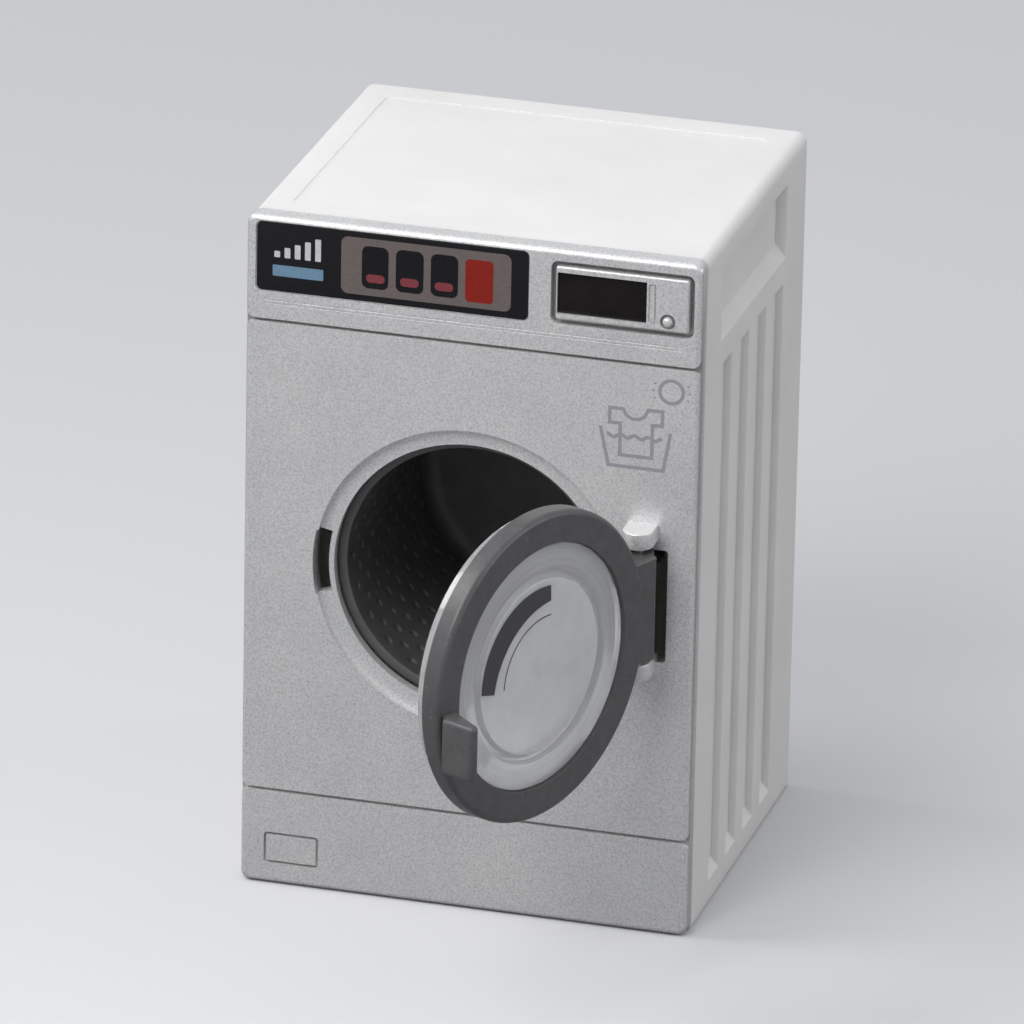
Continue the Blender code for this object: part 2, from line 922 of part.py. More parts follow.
def door_ring(material, hinge):
    rim = arc(
        (door_radius - door_rim_round, door_rim_round),
        door_rim_round, 0, -quarter_turn, round_count,
    )
    profile = [(door_inner_radius, door_thick), (door_radius - door_rim_back, door_thick)]
    profile += [(door_radius, door_thick - door_rim_back)]
    profile += rim
    profile += [(door_inner_radius + door_inner_edge, 0), (door_inner_radius, door_inner_edge)]
    ring = piece("door_ring", turned("door_ring", profile, closed=True), material, hinge)
    ring.matrix_local = door_place()
    turn(ring)

    front = arm_setback - door_forward
    ring_back = door_thick - door_forward - film_gap
    points = arc((0, 0), knuckle_radius, -quarter_turn / 2, quarter_turn, lug_count)
    points += [(-arm_heel, ring_back + arm_back), (-arm_heel, ring_back)]
    points += [(-arm_reach, ring_back), (-arm_reach, front)]
    points += arc((-arm_side - arm_corner, front + arm_corner), arm_corner, -quarter_turn, 0,
                  small_round_count)
    arm = helper("door_arm", outline_solid("door_arm", points, arm_tall()), hinge)
    arm.location.z = (arm_foot_gap - arm_top_gap) / 2
    join(ring, arm)
    bore = rod("Z", (0, 0, 0), -lug_span, lug_span, bore_radius, pin_count)
    cut(ring, helper("knuckle_bore", mesh_of(bore, "knuckle_bore"), hinge))
    socket = rod("Y", (-hinge_across - handle_peg_across, 0, handle_middle()),
                 -door_forward - cut_over, handle_peg_length + film_gap - door_forward,
                 handle_peg_radius + film_gap, peg_count)
    cut(ring, helper("handle_socket", mesh_of(socket, "handle_socket"), hinge))
    return ring


def arm_tall():
    return lug_span - arm_top_gap - arm_foot_gap


def handle_middle():
    return -hinge_rise - handle_top - handle_tall / 2


def door_window(material, hinge):
    plug = door_inner_radius - glass_gap
    flange_front = door_thick + glass_gap
    flange_back = flange_front + glass_flange_thick
    dome = flange_back + glass_bowl_rise
    profile = [(0, dome), (glass_bowl_radius - 2 * glass_bowl_rise, dome)]
    profile += [(glass_bowl_radius, flange_back), (glass_flange_radius - film_gap, flange_back)]
    profile += [(glass_flange_radius, flange_back - film_gap), (glass_flange_radius, flange_front)]
    profile += [(plug, flange_front), (plug, glass_sink + film_gap), (plug - film_gap, glass_sink)]
    profile += [
        (door_inner_radius * across, glass_sink + glass_step_depth * deep)
        for across, deep in glass_step_shares
    ]
    profile += [(0, glass_sink + glass_step_depth)]
    window = piece("door_window", turned("door_window", profile), material, hinge)
    window.matrix_local = door_place()
    turn(window)
    return window


def door_handle(material, hinge):
    """A fin on the free side of the ring, undercut along the rim for a fingertip."""
    outer, inner = -hinge_across - handle_outer, -hinge_across - handle_inner
    face = -door_forward - handle_gap
    tip = face - handle_rise
    low = handle_middle() - handle_tall / 2
    high = handle_middle() + handle_tall / 2
    points = [(outer, face), (outer, tip), (outer + handle_tip, tip), (inner, face)]
    shape = bmesh.new()
    shape.from_mesh(outline_solid("door_handle", points, handle_tall))
    bmesh.ops.translate(shape, vec=(0, 0, handle_middle()), verts=shape.verts)
    round_edges(shape, sharp_away_from("Y", face), handle_edge, small_round_count)
    handle = piece("door_handle", mesh_of(shape, "door_handle"), material, hinge)
    undercut = block(
        (outer - cut_over, face - handle_undercut_rise, low - cut_over),
        (outer + handle_undercut_width, face + cut_over, high + cut_over),
    )
    cut(handle, helper("handle_undercut", mesh_of(undercut, "handle_undercut"), hinge))
    peg = rod("Y", (-hinge_across - handle_peg_across, 0, handle_middle()),
              face - handle_undercut_rise, handle_peg_length - door_forward - film_gap,
              handle_peg_radius, peg_count)
    join(handle, helper("handle_peg", mesh_of(peg, "handle_peg"), hinge))
    return handle


def hinge_pin(material):
    low, high = pin_ends()
    shape = rod("Z", (hinge_across, hinge_y, 0), low, high, pin_radius, pin_count)
    return piece("hinge_pin", mesh_of(shape, "hinge_pin"), material)


def joint_frame(name, place):
    frame = bpy.data.objects.new(name, None)
    MACHINE.objects.link(frame)
    frame.location = place
    return frame


clear_scene()
MACHINE = new_collection("miniature_washing_machine")
CUTTERS = new_collection("cutters")
CUTTERS.hide_render = True

white = finish("white_plastic", (0.80, 0.79, 0.77), 0.38)
silver = finish("silver_paint", (0.60, 0.60, 0.61), 0.34, metallic=0.75)
grey = finish("grey_plastic", (0.105, 0.105, 0.108), 0.42)
clear = finish("clear_plastic", (0.95, 0.96, 0.97), 0.06, clear=1.0)
black = finish("black_plastic", (0.012, 0.012, 0.013), 0.36)
film = finish("printed_film", (0.02, 0.02, 0.021), 0.30)
smoke = finish("dark_window", (0.018, 0.013, 0.014), 0.12)
steel = finish("pin_steel", (0.62, 0.62, 0.63), 0.28, metallic=1.0)

hinge_frame = joint_frame("door_hinge", (hinge_across, hinge_y, hinge_height))
hinge_frame.rotation_euler = (0, 0, door_rest_angle)
drum_frame = joint_frame("drum_axis", (0, drum_mouth_y, porthole_height))

made = [
    cabinet_shell(white),
    back_cover(white),
    front_panel(silver),
    control_label(film),
    display_window(smoke),
    drum(black, drum_frame),
    drum_spindle(steel, drum_frame),
    hinge_pin(steel),
    door_ring(grey, hinge_frame),
    door_window(clear, hinge_frame),
    door_handle(grey, hinge_frame),
]
for thing in made:
    shade(thing)
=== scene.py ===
"""Looks of the miniature washing machine: soft edges, prints, paint, plastics and studio.

Every size is in metres. The front faces -Y and the machine stands on z = 0.
"""

import math

import bmesh
import bpy
from mathutils import Matrix, Vector


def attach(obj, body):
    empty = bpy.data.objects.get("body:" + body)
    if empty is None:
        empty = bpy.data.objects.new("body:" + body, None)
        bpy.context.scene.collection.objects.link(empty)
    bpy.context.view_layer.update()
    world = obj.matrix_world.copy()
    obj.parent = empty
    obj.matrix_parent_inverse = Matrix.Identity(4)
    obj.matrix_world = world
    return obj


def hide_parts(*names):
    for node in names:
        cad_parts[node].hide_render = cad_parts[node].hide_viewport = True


# Whole machine
body_width = 0.0390
body_depth = 0.0345
body_height = 0.0600
half_width = body_width / 2
front_y = -body_depth / 2
back_y = body_depth / 2
hair = 0.00001
weld_reach = 0.0000001
seam_reach = 0.000002
cut_over = 0.00100
half_turn = math.pi
quarter_turn = math.pi / 2
smooth_below = math.radians(32)
bevel_from = math.radians(28)

# Front panel
panel_thick = 0.00165
panel_lift = 0.00010
panel_corner = 0.00080
panel_edge = 0.00045
panel_back_y = front_y + panel_thick
panel_soft_edge = 0.00006
# How far painted shade reaches into grooves and the panel's sides, and how strong it is at and
# below the kick line
painted_shade_start = 0.00012
painted_shade_span = 0.00030
kick_shade = 0.45

# Field lines
line_width = 0.00028
line_depth = 0.00052
line_flare = 0.00070
control_line_height = 0.05082
kick_line_height = 0.00865
flow_lines = ((0.05262, 0.00012), (0.05232, 0.00008))
flow_line_depth = 0.00003

# Porthole
porthole_height = 0.02977
porthole_radius = 0.01180
rebate_radius = 0.01330
rebate_depth = 0.00075
latch_inner_radius = 0.01225
latch_outer_radius = 0.01345
latch_half_angle = math.radians(12.5)

# Control label
label_left = -0.01860
label_right = 0.00470
label_low = 0.05345
label_high = 0.05945
label_corner = 0.00045
label_bed_depth = 0.00018
bed_margin = 0.00010
film_front = 0.00004
print_thick = 0.00001

# What is printed on the label: left, right, low, high, corner
load_bar = (-0.01723, -0.01286, 0.05480, 0.05578, 0.00010)
button_field = (-0.01133, 0.00325, 0.05400, 0.05900, 0.00060)
black_buttons = [
    (left, right, 0.05465, 0.05835, 0.00055)
    for left, right in ((-0.00955, -0.00726), (-0.00663, -0.00425), (-0.00363, -0.00129))
]
red_button = (-0.00067, 0.00172, 0.05450, 0.05824, 0.00035)
button_lights = [
    (left, right, 0.05517, 0.05590, 0.00034)
    for left, right in ((-0.00917, -0.00757), (-0.00625, -0.00465), (-0.00328, -0.00169))
]
load_tick_left = -0.01710
load_tick_pitch = 0.00088
load_tick_width = 0.00050
load_tick_low = 0.05645
load_tick_heights = (0.00055, 0.00090, 0.00125, 0.00160, 0.00195)
load_tick_corner = 0.00008

# Display unit
moat_field = (0.00665, 0.01887, 0.05350, 0.05900, 0.00065)
moat_width = 0.00042
moat_depth = 0.00078
display_rise = 0.00012
display_edge = 0.00022
window_field = (0.00722, 0.01484, 0.05445, 0.05805, 0.00008)
window_bed_depth = 0.00032
window_sink = 0.00014
bar_field = (0.01500, 0.01562, 0.05452, 0.05795, 0.00022)
bar_groove = 0.00012
bar_depth = 0.00022
knob_place = (0.01665, 0.05480)
knob_radius = 0.00042
knob_bed_radius = 0.00066
knob_bed_depth = 0.00050
knob_rise = 0.00030

# Filter cover
filter_field = (-0.01745, -0.01265, 0.00195, 0.00475, 0.00035)
filter_depth = 0.00042
filter_groove = 0.00022

# Hinge
hinge_across = 0.01497
hinge_y = front_y - 0.00150
hinge_height = 0.03030
lug_radius = 0.00130
lug_thick = 0.00140
lug_round = 0.00012
lug_span = 0.01030
bore_radius = 0.00053
hinge_slot = (0.01390, 0.01715, 0.02460, 0.03460, 0.00030)

# Cabinet
side_wall = 0.00190
floor_wall = 0.00160
top_wall = 0.00160
cabinet_front_y = panel_back_y + 0.00006
cabinet_top_round = 0.00100
cabinet_foot_round = 0.00040
cabinet_back_round = 0.00060
cabinet_soft_edge = 0.00026
top_bed = (-0.01680, 0.01680, -0.01345, 0.01425, 0.00080)
top_bed_depth = 0.00012
pocket_length = 0.02130
pocket_low = 0.05100
pocket_high = 0.05750
pocket_depth = 0.00095
pocket_slope = 0.00120
flute_count = 4
flute_pitch = 0.00565
flute_width = 0.00330
flute_low = 0.00230
flute_high = 0.04880
flute_depth = 0.00065
flute_slope = 0.00090
hollow_lip = 0.00030

# Door, drawn shut around its hinge and then swung open
door_rest_angle = math.radians(66)
door_forward = 0.00240
door_drop = 0.00053
door_radius = 0.01330
door_inner_radius = 0.01060
door_thick = 0.00170
door_rim_round = 0.00050
knuckle_radius = 0.00135
arm_tall = 0.00885
arm_lift = 0.000275
arm_setback = 0.00008
arm_side = 0.00010
arm_corner = 0.00050
arm_reach = 0.00340
arm_heel = 0.00240
arm_back = 0.00080
door_soft_edge = 0.00008

# Door window: (radius, how far behind the ring's front), from the middle out and round the back.
# The photograph shows one circle around the middle, and bounds its depth only loosely.
window_front_steps = (
    (0.00000, 0.00040),
    (0.00745, 0.00040),
    (0.00775, 0.00085),
    (0.00810, 0.00085),
    (0.00835, 0.00035),
    (0.01048, 0.00035),
    (0.01048, 0.00182),
    (0.01240, 0.00182),
    (0.01240, 0.00292),
    (0.00930, 0.00292),
    (0.00780, 0.00352),
    (0.00000, 0.00352),
)
window_ease = 0.00006
window_worn_depth = 0.00100
window_worn_radius = 0.00745

# Painted shade on the window's disc: a dark arc for the dark drum seen through a slope of the
# window, and a thin line for the shade at a small step, which its shape here does not give:
# the two edges of each, as centre, radius, start and end in degrees
shade_arcs = (
    (((0.00008, -0.00058), 0.00744, 80.6, 178.5), ((0.00160, -0.00203), 0.00742, 170.6, 92.1)),
    (((0.00082, -0.00111), 0.00535, 84.0, 176.8), ((0.00082, -0.00111), 0.00525, 176.8, 84.0)),
)
shade_arc_depth = 0.000388
shade_arc_thick = 0.000016

# Door handle, a fin that thins towards its tip
handle_outer = 0.01325
handle_root = 0.00220
handle_tip = 0.00090
handle_top = 0.00035
handle_tall = 0.00485
handle_rise = 0.00357
handle_gap = 0.00002
handle_edge = 0.00042
handle_undercut_width = 0.00050
handle_undercut_rise = 0.00040

# Drum
drum_mouth_radius = 0.01100
drum_wall = 0.00090
drum_mouth_y = panel_back_y + 0.00030
drum_length = 0.02405
drum_floor = 0.00100
drum_plain_mouth = 0.00110
drum_inner_round = 0.00150
drum_outer_round = 0.00080
drum_lip = 0.00020
hub_radius = 0.00300
hub_length = 0.00120
spindle_seat_radius = 0.00125
spindle_seat_depth = 0.00150
dimple_rows = 15
dimple_columns = 52
dimple_share = 0.62
dimple_floor_share = 0.70
dimple_depth = 0.00020
dimple_refine = 2

# Printed marks on the front: strokes in the panel's own plane
mark_width = 0.00030
mark_rise = 0.00001
mitre_least = 0.4
tub_stroke = ((0.01113, 0.04502), (0.01186, 0.04165), (0.01655, 0.04165), (0.01711, 0.04502))
shirt_stroke = (
    (0.01190, 0.04672), (0.01302, 0.04672), (0.01332, 0.04620), (0.01380, 0.04592),
    (0.01438, 0.04592), (0.01486, 0.04620), (0.01518, 0.04685), (0.01640, 0.04685),
    (0.01640, 0.04556), (0.01556, 0.04556), (0.01556, 0.04265), (0.01282, 0.04265),
    (0.01282, 0.04543), (0.01190, 0.04543),
)
wave_left = 0.01168
wave_right = 0.01640
wave_height = 0.04432
wave_rise = 0.00028
wave_count = 4
ring_place = (0.01711, 0.04866)
ring_radius = 0.00100
speck_radius = 0.00010
speck_turn = 0.00155
speck_pairs = 3
speck_spread = math.radians(24)

# Counts of facets
turn_count = 192
round_count = 6
small_round_count = 3
curve_count = 12
nose_count = 24
pin_count = 32
stroke_count = 8
ring_count = 48
shade_arc_count = 36

# Finishes. A noise has its feature size in metres, detail, roughness and stretch. Tones are
# the colours at the two ends of its spread, gloss is the range of the surface's roughness,
# and a relief has a strength and a depth in metres.
spread = (0.3, 0.7)
even_radii = (1.0, 1.0, 1.0)
steel_streak = (0.0006, 2.0, 0.5, (1, 1, 0.08))
plain_looks = {
    "white_plastic": dict(
        sockets=dict(IOR=1.49, Specular_IOR_Level=0.4, Subsurface_Weight=0.5,
                     Subsurface_Scale=0.0014, Subsurface_Radius=even_radii),
        cloud=(0.0090, 4.0), tones=((0.80, 0.788, 0.768), (0.845, 0.835, 0.818)),
        fine=(0.00022, 3.0), gloss=(0.42, 0.56), relief=(0.06, 0.000010),
    ),
    "black_plastic": dict(
        sockets=dict(IOR=1.5, Specular_IOR_Level=0.85),
        cloud=(0.0020, 3.0), tones=((0.078, 0.078, 0.079), (0.100, 0.100, 0.101)),
        fine=(0.00020,), gloss=(0.44, 0.58), relief=(0.20, 0.00002),
    ),
    "dark_window": dict(
        sockets=dict(IOR=1.5, Specular_IOR_Level=0.14),
        cloud=(0.0025,), tones=((0.011, 0.009, 0.010), (0.016, 0.013, 0.014)),
        fine=(0.0005, 3.0), gloss=(0.10, 0.24), gloss_from=(0.4, 0.8),
        relief=(0.06, 0.00003), relief_on_cloud=True,
    ),
    "pin_steel": dict(
        sockets=dict(Metallic=1.0),
        cloud=steel_streak, tones=((0.52, 0.52, 0.53), (0.66, 0.66, 0.67)),
        fine=steel_streak, gloss=(0.22, 0.40), relief=(0.15, 0.00001),
    ),
}

# Inks: colour and roughness
inks = {
    "black_film": ((0.014, 0.014, 0.016), 0.34),
    "blue_ink": ((0.175, 0.295, 0.412), 0.32),
    "white_ink": ((0.62, 0.62, 0.62), 0.32),
    "grey_ink": ((0.169, 0.140, 0.132), 0.32),
    "black_ink": ((0.012, 0.012, 0.014), 0.32),
    "red_ink": ((0.281, 0.021, 0.014), 0.32),
    "pink_ink": ((0.241, 0.054, 0.065), 0.32),
    "mark_ink": ((0.36, 0.36, 0.385), 0.45),
    # Painted shade for the dark arcs on the door window's disc
    "painted_shade_tint": ((0.080, 0.080, 0.081), 0.36),
}
ink_sockets = dict(IOR=1.5, Specular_IOR_Level=0.18)
ink_grain = (0.00012, 2.0, 0.6)
ink_gloss = (0.0006,)
ink_gloss_below = 0.06
ink_gloss_above = 0.08
ink_relief = (0.10, 0.000008)
ink_dark = 0.86
ink_light = 1.12

# Silver paint
paint_sockets = dict(Metallic=0.50, IOR=1.5)
flake_grain = (0.00019, 2.0, 0.7)
flake_tones = (
    (0.28, (0.61, 0.606, 0.602)),
    (0.50, (0.81, 0.806, 0.802)),
    (0.74, (0.96, 0.956, 0.952)),
)
flake_gloss_size = 0.00035
flake_gloss = (0.36, 0.52)
flake_relief = (0.55, 0.00003)
spray_cloud = (0.0060, 3.0)
spray_tones = ((0.30, (0.94, 0.94, 0.95)), (0.70, (1.0, 1.0, 0.995)))
# Painted shade: the colour and strength of the darkening in grooves, recesses and on the panel's
# sides
painted_shade_colour = (0.22, 0.215, 0.21, 1)
painted_shade_share = 0.62

# Dark grey plastic
grey_sockets = dict(IOR=1.5)
grey_cloud = (0.0014, 4.0, 0.6)
grey_tones = ((0.085, 0.085, 0.086), (0.108, 0.108, 0.109))
grey_scuff = (0.00030, 2.0, 0.7)
grey_worn_from = (0.66, 0.76)
grey_worn_colour = (0.21, 0.21, 0.215, 1)
grey_gloss = (0.28, 0.42)
grey_relief = (0.14, 0.00002)

# Clear plastic, with a worn disc that lets less light through
clear_sockets = dict(IOR=1.49, Specular_IOR_Level=0.8, Coat_Weight=0.3, Coat_Roughness=0.05,
                     Subsurface_Weight=1.0, Subsurface_Scale=0.0016, Subsurface_Radius=even_radii)
clear_share = 0.60
dull_share = 0.34
dull_gloss = 0.24
clear_cloud = (0.0030,)
clear_tones = ((0.86, 0.862, 0.865), (0.98, 0.982, 0.985))
clear_scuff = (0.00045, 3.0, 0.7)
clear_gloss = (0.03, 0.14)
clear_gloss_from = (0.45, 0.80)
clear_waves = (0.25, 0.00020)
clear_ring_size = 0.00032
clear_ring_detail = 3.0
clear_ring_tones = ((0.3, (0.89, 0.892, 0.896)), (0.6, (0.98, 0.982, 0.985)))
clear_ring_relief = (0.22, 0.00003)
clear_even_level = 0.5

# Camera, found from the photograph's edges
camera_place = (0.23077, -0.83987, 0.37548)
camera_azimuth = math.radians(15.43)
camera_fall = math.radians(21.67)
camera_roll = math.radians(1.144)
camera_lens = 389.73
camera_sensor = 36
camera_near = 0.01

# Studio
floor_size = 6.0
floor_roughness = 0.9
floor_pale = (0.72, 0.72, 0.73, 1)
floor_bounce = (0.20, 0.20, 0.205, 1)
floor_shine = (0.26, 0.26, 0.265, 1)
sky_colour = (0.86, 0.88, 0.92, 1)
sky_strength = 0.56
lamps = (
    ("overhead_lamp", (-0.10, 0.20, 1.10), (0, 0, 0.03), 0.60, 0.5),
    ("front_lamp", (-0.06, -0.17, 0.215), (0, -0.02, 0.03), 0.16, 0.325),
    ("left_lamp", (-0.80, -0.10, 0.80), (0, 0, 0.03), 0.50, 3.0),
    ("right_lamp", (0.90, 0.10, 0.15), (0, 0, 0.03), 0.80, 2.15),
)


# Shapes


def new_workbench():
    """A collection for shapes that only help to make a piece."""
    group = bpy.data.collections.new("workbench")
    bpy.context.scene.collection.children.link(group)
    return group


def block(low, high):
    low, high = Vector(low), Vector(high)
    shape = bmesh.new()
    bmesh.ops.create_cube(shape, size=1)
    bmesh.ops.scale(shape, vec=high - low, verts=shape.verts)
    bmesh.ops.translate(shape, vec=(low + high) / 2, verts=shape.verts)
    return shape


def along(point, axis):
    return point["XYZ".index(axis)]


def runs_along(axis):
    across = Vector([other != axis for other in "XYZ"])

    def chosen(edge):
        return ((edge.verts[1].co - edge.verts[0].co) * across).length < hair

    return chosen


def lies_at(axis, place):
    def chosen(edge):
        return all(abs(along(end.co, axis) - place) < hair for end in edge.verts)

    return chosen


def round_edges(shape, chosen, radius, steps):
    bmesh.ops.bevel(
        shape,
        geom=[edge for edge in shape.edges if chosen(edge)],
        offset=radius,
        offset_type="OFFSET",
        segments=steps,
        profile=0.5,
        affect="EDGES",
        clamp_overlap=True,
    )


def rod(axis, centre, start, end, radius, sides):
    shape = bmesh.new()
    bmesh.ops.create_cone(
        shape, cap_ends=True, segments=sides, radius1=radius, radius2=radius, depth=end - start
    )
    middle = Vector(centre)
    middle["XYZ".index(axis)] = (start + end) / 2
    turn = Matrix.Rotation(-quarter_turn, 4, "X") if axis == "Y" else Matrix.Identity(4)
    bmesh.ops.transform(shape, matrix=Matrix.Translation(middle) @ turn, verts=shape.verts)
    return shape


def field(place, depth_from, depth_to):
    """A rounded field of the front, between two depths behind the panel's face."""
    left, right, low, high, corner = place
    shape = block((left, front_y + depth_from, low), (right, front_y + depth_to, high))
    round_edges(shape, runs_along("Y"), corner, round_count)
    return shape


def inset(place, margin):
    left, right, low, high, corner = place
    return left + margin, right - margin, low + margin, high - margin, corner - margin


def arc(centre, radius, start, end, steps):
    angles = [start + (end - start) * step / steps for step in range(steps + 1)]
    return [
        (centre[0] + radius * math.cos(angle), centre[1] + radius * math.sin(angle))
        for angle in angles
    ]


def eased(points, radius, steps=small_round_count):
    """The points with each inner corner rounded, where there is room."""
    result = [points[0]]
    for before, corner, after in zip(points, points[1:], points[2:]):
        middle = Vector(corner)
        back, ahead = Vector(before) - middle, Vector(after) - middle
        reach = min(radius, back.length / 2, ahead.length / 2)
        start = middle + back.normalized() * reach
        end = middle + ahead.normalized() * reach
        for step in range(steps + 1):
            share = step / steps
            point = start.lerp(middle, share).lerp(middle.lerp(end, share), share)
            result.append(tuple(point))
    return result + [points[-1]]


def outline_shape(points, thickness):
    """A flat outline in the XY plane, thickened evenly to both sides."""
    shape = bmesh.new()
    face = shape.faces.new([shape.verts.new((x, y, -thickness / 2)) for x, y in points])
    made = bmesh.ops.extrude_face_region(shape, geom=[face])["geom"]
    raised = [item for item in made if isinstance(item, bmesh.types.BMVert)]
    bmesh.ops.translate(shape, vec=(0, 0, thickness), verts=raised)
    return shape


def turned_shape(profile, steps, closed=False):
    """A profile of (radius, height) points, turned about Z."""
    shape = bmesh.new()
    ends = [shape.verts.new((radius, 0, height)) for radius, height in profile]
    pairs = list(zip(ends, ends[1:])) + ([(ends[-1], ends[0])] if closed else [])
    edges = [shape.edges.new(pair) for pair in pairs]
    bmesh.ops.spin(
        shape, geom=ends + edges, cent=(0, 0, 0), axis=(0, 0, 1),
        angle=math.tau, steps=steps, use_merge=True,
    )
    bmesh.ops.remove_doubles(shape, verts=shape.verts, dist=weld_reach)
    return shape


def placed(shape, matrix):
    bmesh.ops.transform(shape, matrix=matrix, verts=shape.verts)
    return shape


def mesh_of(shape, name):
    bmesh.ops.recalc_face_normals(shape, faces=shape.faces)
    mesh = bpy.data.meshes.new(name)
    shape.to_mesh(mesh)
    shape.free()
    return mesh


def merged(meshes):
    """One shape from several meshes, which it uses up."""
    shape = bmesh.new()
    for mesh in meshes:
        shape.from_mesh(mesh)
        bpy.data.meshes.remove(mesh)
    return shape


def bench_object(name, mesh):
    thing = bpy.data.objects.new(name, mesh)
    WORKBENCH.objects.link(thing)
    return thing


def evaluated_mesh(thing):
    bpy.context.view_layer.update()
    graph = bpy.context.evaluated_depsgraph_get()
    return bpy.data.meshes.new_from_object(thing.evaluated_get(graph), depsgraph=graph)


def worked(name, start, steps):
    """The start shape after a row of (operation, shape) Booleans, as one mesh."""
    thing = bench_object(name, mesh_of(start, name))
    tools = []
    for operation, shape in steps:
        tool = bench_object("tool", mesh_of(shape, "tool"))
        tools.append(tool)
        change = thing.modifiers.new("work", "BOOLEAN")
        change.operation = operation
        change.solver = "EXACT"
        change.object = tool
    mesh = evaluated_mesh(thing)
    for used in [thing, *tools]:
        bpy.data.objects.remove(used)
    return mesh


def modified(name, mesh, kind, **settings):
    """The mesh after one modifier."""
    thing = bench_object(name, mesh)
    change = thing.modifiers.new(name, kind)
    for setting, value in settings.items():
        setattr(change, setting, value)
    result = evaluated_mesh(thing)
    bpy.data.objects.remove(thing)
    return result


def softened(name, mesh, width):
    """The mesh with its sharp edges broken, as a moulding's are."""
    return modified(
        name, mesh, "BEVEL", width=width, segments=2, limit_method="ANGLE",
        angle_limit=bevel_from, use_clamp_overlap=True, miter_outer="MITER_ARC",
    )


def smooth(mesh):
    mesh.shade_smooth()
    mesh.set_sharp_from_angle(angle=smooth_below)
    return mesh


def evened(mesh):
    """The mesh shaded smooth, with normals that follow its large flat faces."""
    return modified("evened", smooth(mesh), "WEIGHTED_NORMAL", keep_sharp=True)


def piece(name, mesh, material, body, nodes=()):
    """A finished piece that rides on a body and stands for the CAD nodes named."""
    mesh.materials.clear()
    mesh.materials.append(material)
    thing = bpy.data.objects.new(name, mesh)
    bpy.context.scene.collection.objects.link(thing)
    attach(thing, body)
    if nodes:
        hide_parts(*nodes)
    return thing


# Materials


def put(links, socket, value):
    """Links an output to the socket, or sets its value."""
    if isinstance(value, bpy.types.NodeSocket):
        links.new(value, socket)
    else:
        socket.default_value = value


def filled(node, links, **values):
    """The node, with the inputs named here linked or set."""
    for name, value in values.items():
        wanted = name.replace("_", " ")
        put(links, next(i for i in node.inputs if i.enabled and i.name == wanted), value)
    return node


class Finish:
    """A Principled material and short calls for the nodes that feed it."""

    def __init__(self, name, **sockets):
        self.material = bpy.data.materials.new(name)
        self.material.use_nodes = True
        self.tree = self.material.node_tree
        self.place = self.add("ShaderNodeTexCoord").outputs["Object"]
        self.feed(**sockets)

    def add(self, kind, settings=(), **values):
        node = self.tree.nodes.new(kind)
        for setting, value in settings:
            setattr(node, setting, value)
        return filled(node, self.tree.links, **values)

    def feed(self, **values):
        filled(self.tree.nodes["Principled BSDF"], self.tree.links, **values)

    def marked(self, name):
        """A mesh attribute."""
        return self.add("ShaderNodeAttribute", [("attribute_name", name)]).outputs["Fac"]

    def noise(self, size, detail=2.0, rough=0.5, stretch=None):
        """Noise whose features are about this long, in metres."""
        place = self.place
        if stretch:
            place = self.add("ShaderNodeMapping", Vector=place, Scale=stretch).outputs["Vector"]
        return self.add("ShaderNodeTexNoise", Vector=place, Scale=1 / size, Detail=detail,
                        Roughness=rough).outputs["Fac"]

    def ramp(self, source, stops):
        node = self.add("ShaderNodeValToRGB", Fac=source)
        elements = node.color_ramp.elements
        while len(elements) < len(stops):
            elements.new(0.5)
        for element, (position, colour) in zip(elements, stops):
            element.position = position
            element.color = (*colour, 1)
        return node.outputs["Color"]

    def range(self, source, low, high, from_low=0.0, from_high=1.0):
        return self.add("ShaderNodeMapRange", Value=source, From_Min=from_low,
                        From_Max=from_high, To_Min=low, To_Max=high).outputs["Result"]

    def mix(self, share, first, second, kind="MIX"):
        settings = (("data_type", "RGBA"), ("blend_type", kind))
        node = self.add("ShaderNodeMix", settings, Factor=share, A=first, B=second)
        return next(output for output in node.outputs if output.enabled)

    def bump(self, source, strength, distance, **normal):
        return self.add("ShaderNodeBump", Height=source, Strength=strength,
                        Distance=distance, **normal).outputs["Normal"]


def plain_finish(name, look=None):
    """A finish whose colour, gloss and relief each follow one noise."""
    look = look or plain_looks[name]
    finish = Finish(name, **look["sockets"])
    cloud, fine = finish.noise(*look["cloud"]), finish.noise(*look["fine"])
    relief_from = cloud if look.get("relief_on_cloud") else fine
    finish.feed(
        Base_Color=finish.ramp(cloud, tuple(zip(spread, look["tones"]))),
        Roughness=finish.range(fine, *look["gloss"], *look.get("gloss_from", spread)),
        Normal=finish.bump(relief_from, *look["relief"]),
    )
    return finish.material


def printed(name):
    """An ink on a film: a little uneven, as a small print is."""
    colour, gloss = inks[name]
    dark = tuple(part * ink_dark for part in colour)
    light = tuple(min(1, part * ink_light) for part in colour)
    return plain_finish(name, dict(
        sockets=ink_sockets, cloud=ink_grain, tones=(dark, light), fine=ink_gloss,
        gloss=(gloss - ink_gloss_below, gloss + ink_gloss_above),
        relief=ink_relief, relief_on_cloud=True,
    ))


def silver_paint():
    """Silver paint with a fine flake, as sprayed on a moulding, with painted shade darkening its
    grooves, recesses and sides.
    """
    finish = Finish("silver_paint", **paint_sockets)
    grain = finish.noise(*flake_grain)
    flake = finish.ramp(grain, flake_tones)
    spray = finish.ramp(finish.noise(*spray_cloud), spray_tones)
    silver = finish.mix(1.0, flake, spray, "MULTIPLY")
    # Painted shade, darker in the grooves, recesses and sides
    share = finish.range(finish.marked("painted_shade"), 0, painted_shade_share)
    finish.feed(
        Base_Color=finish.mix(share, silver, painted_shade_colour),
        Roughness=finish.range(finish.noise(flake_gloss_size), *flake_gloss, *spread),
        Normal=finish.bump(grain, *flake_relief),
    )
    return finish.material


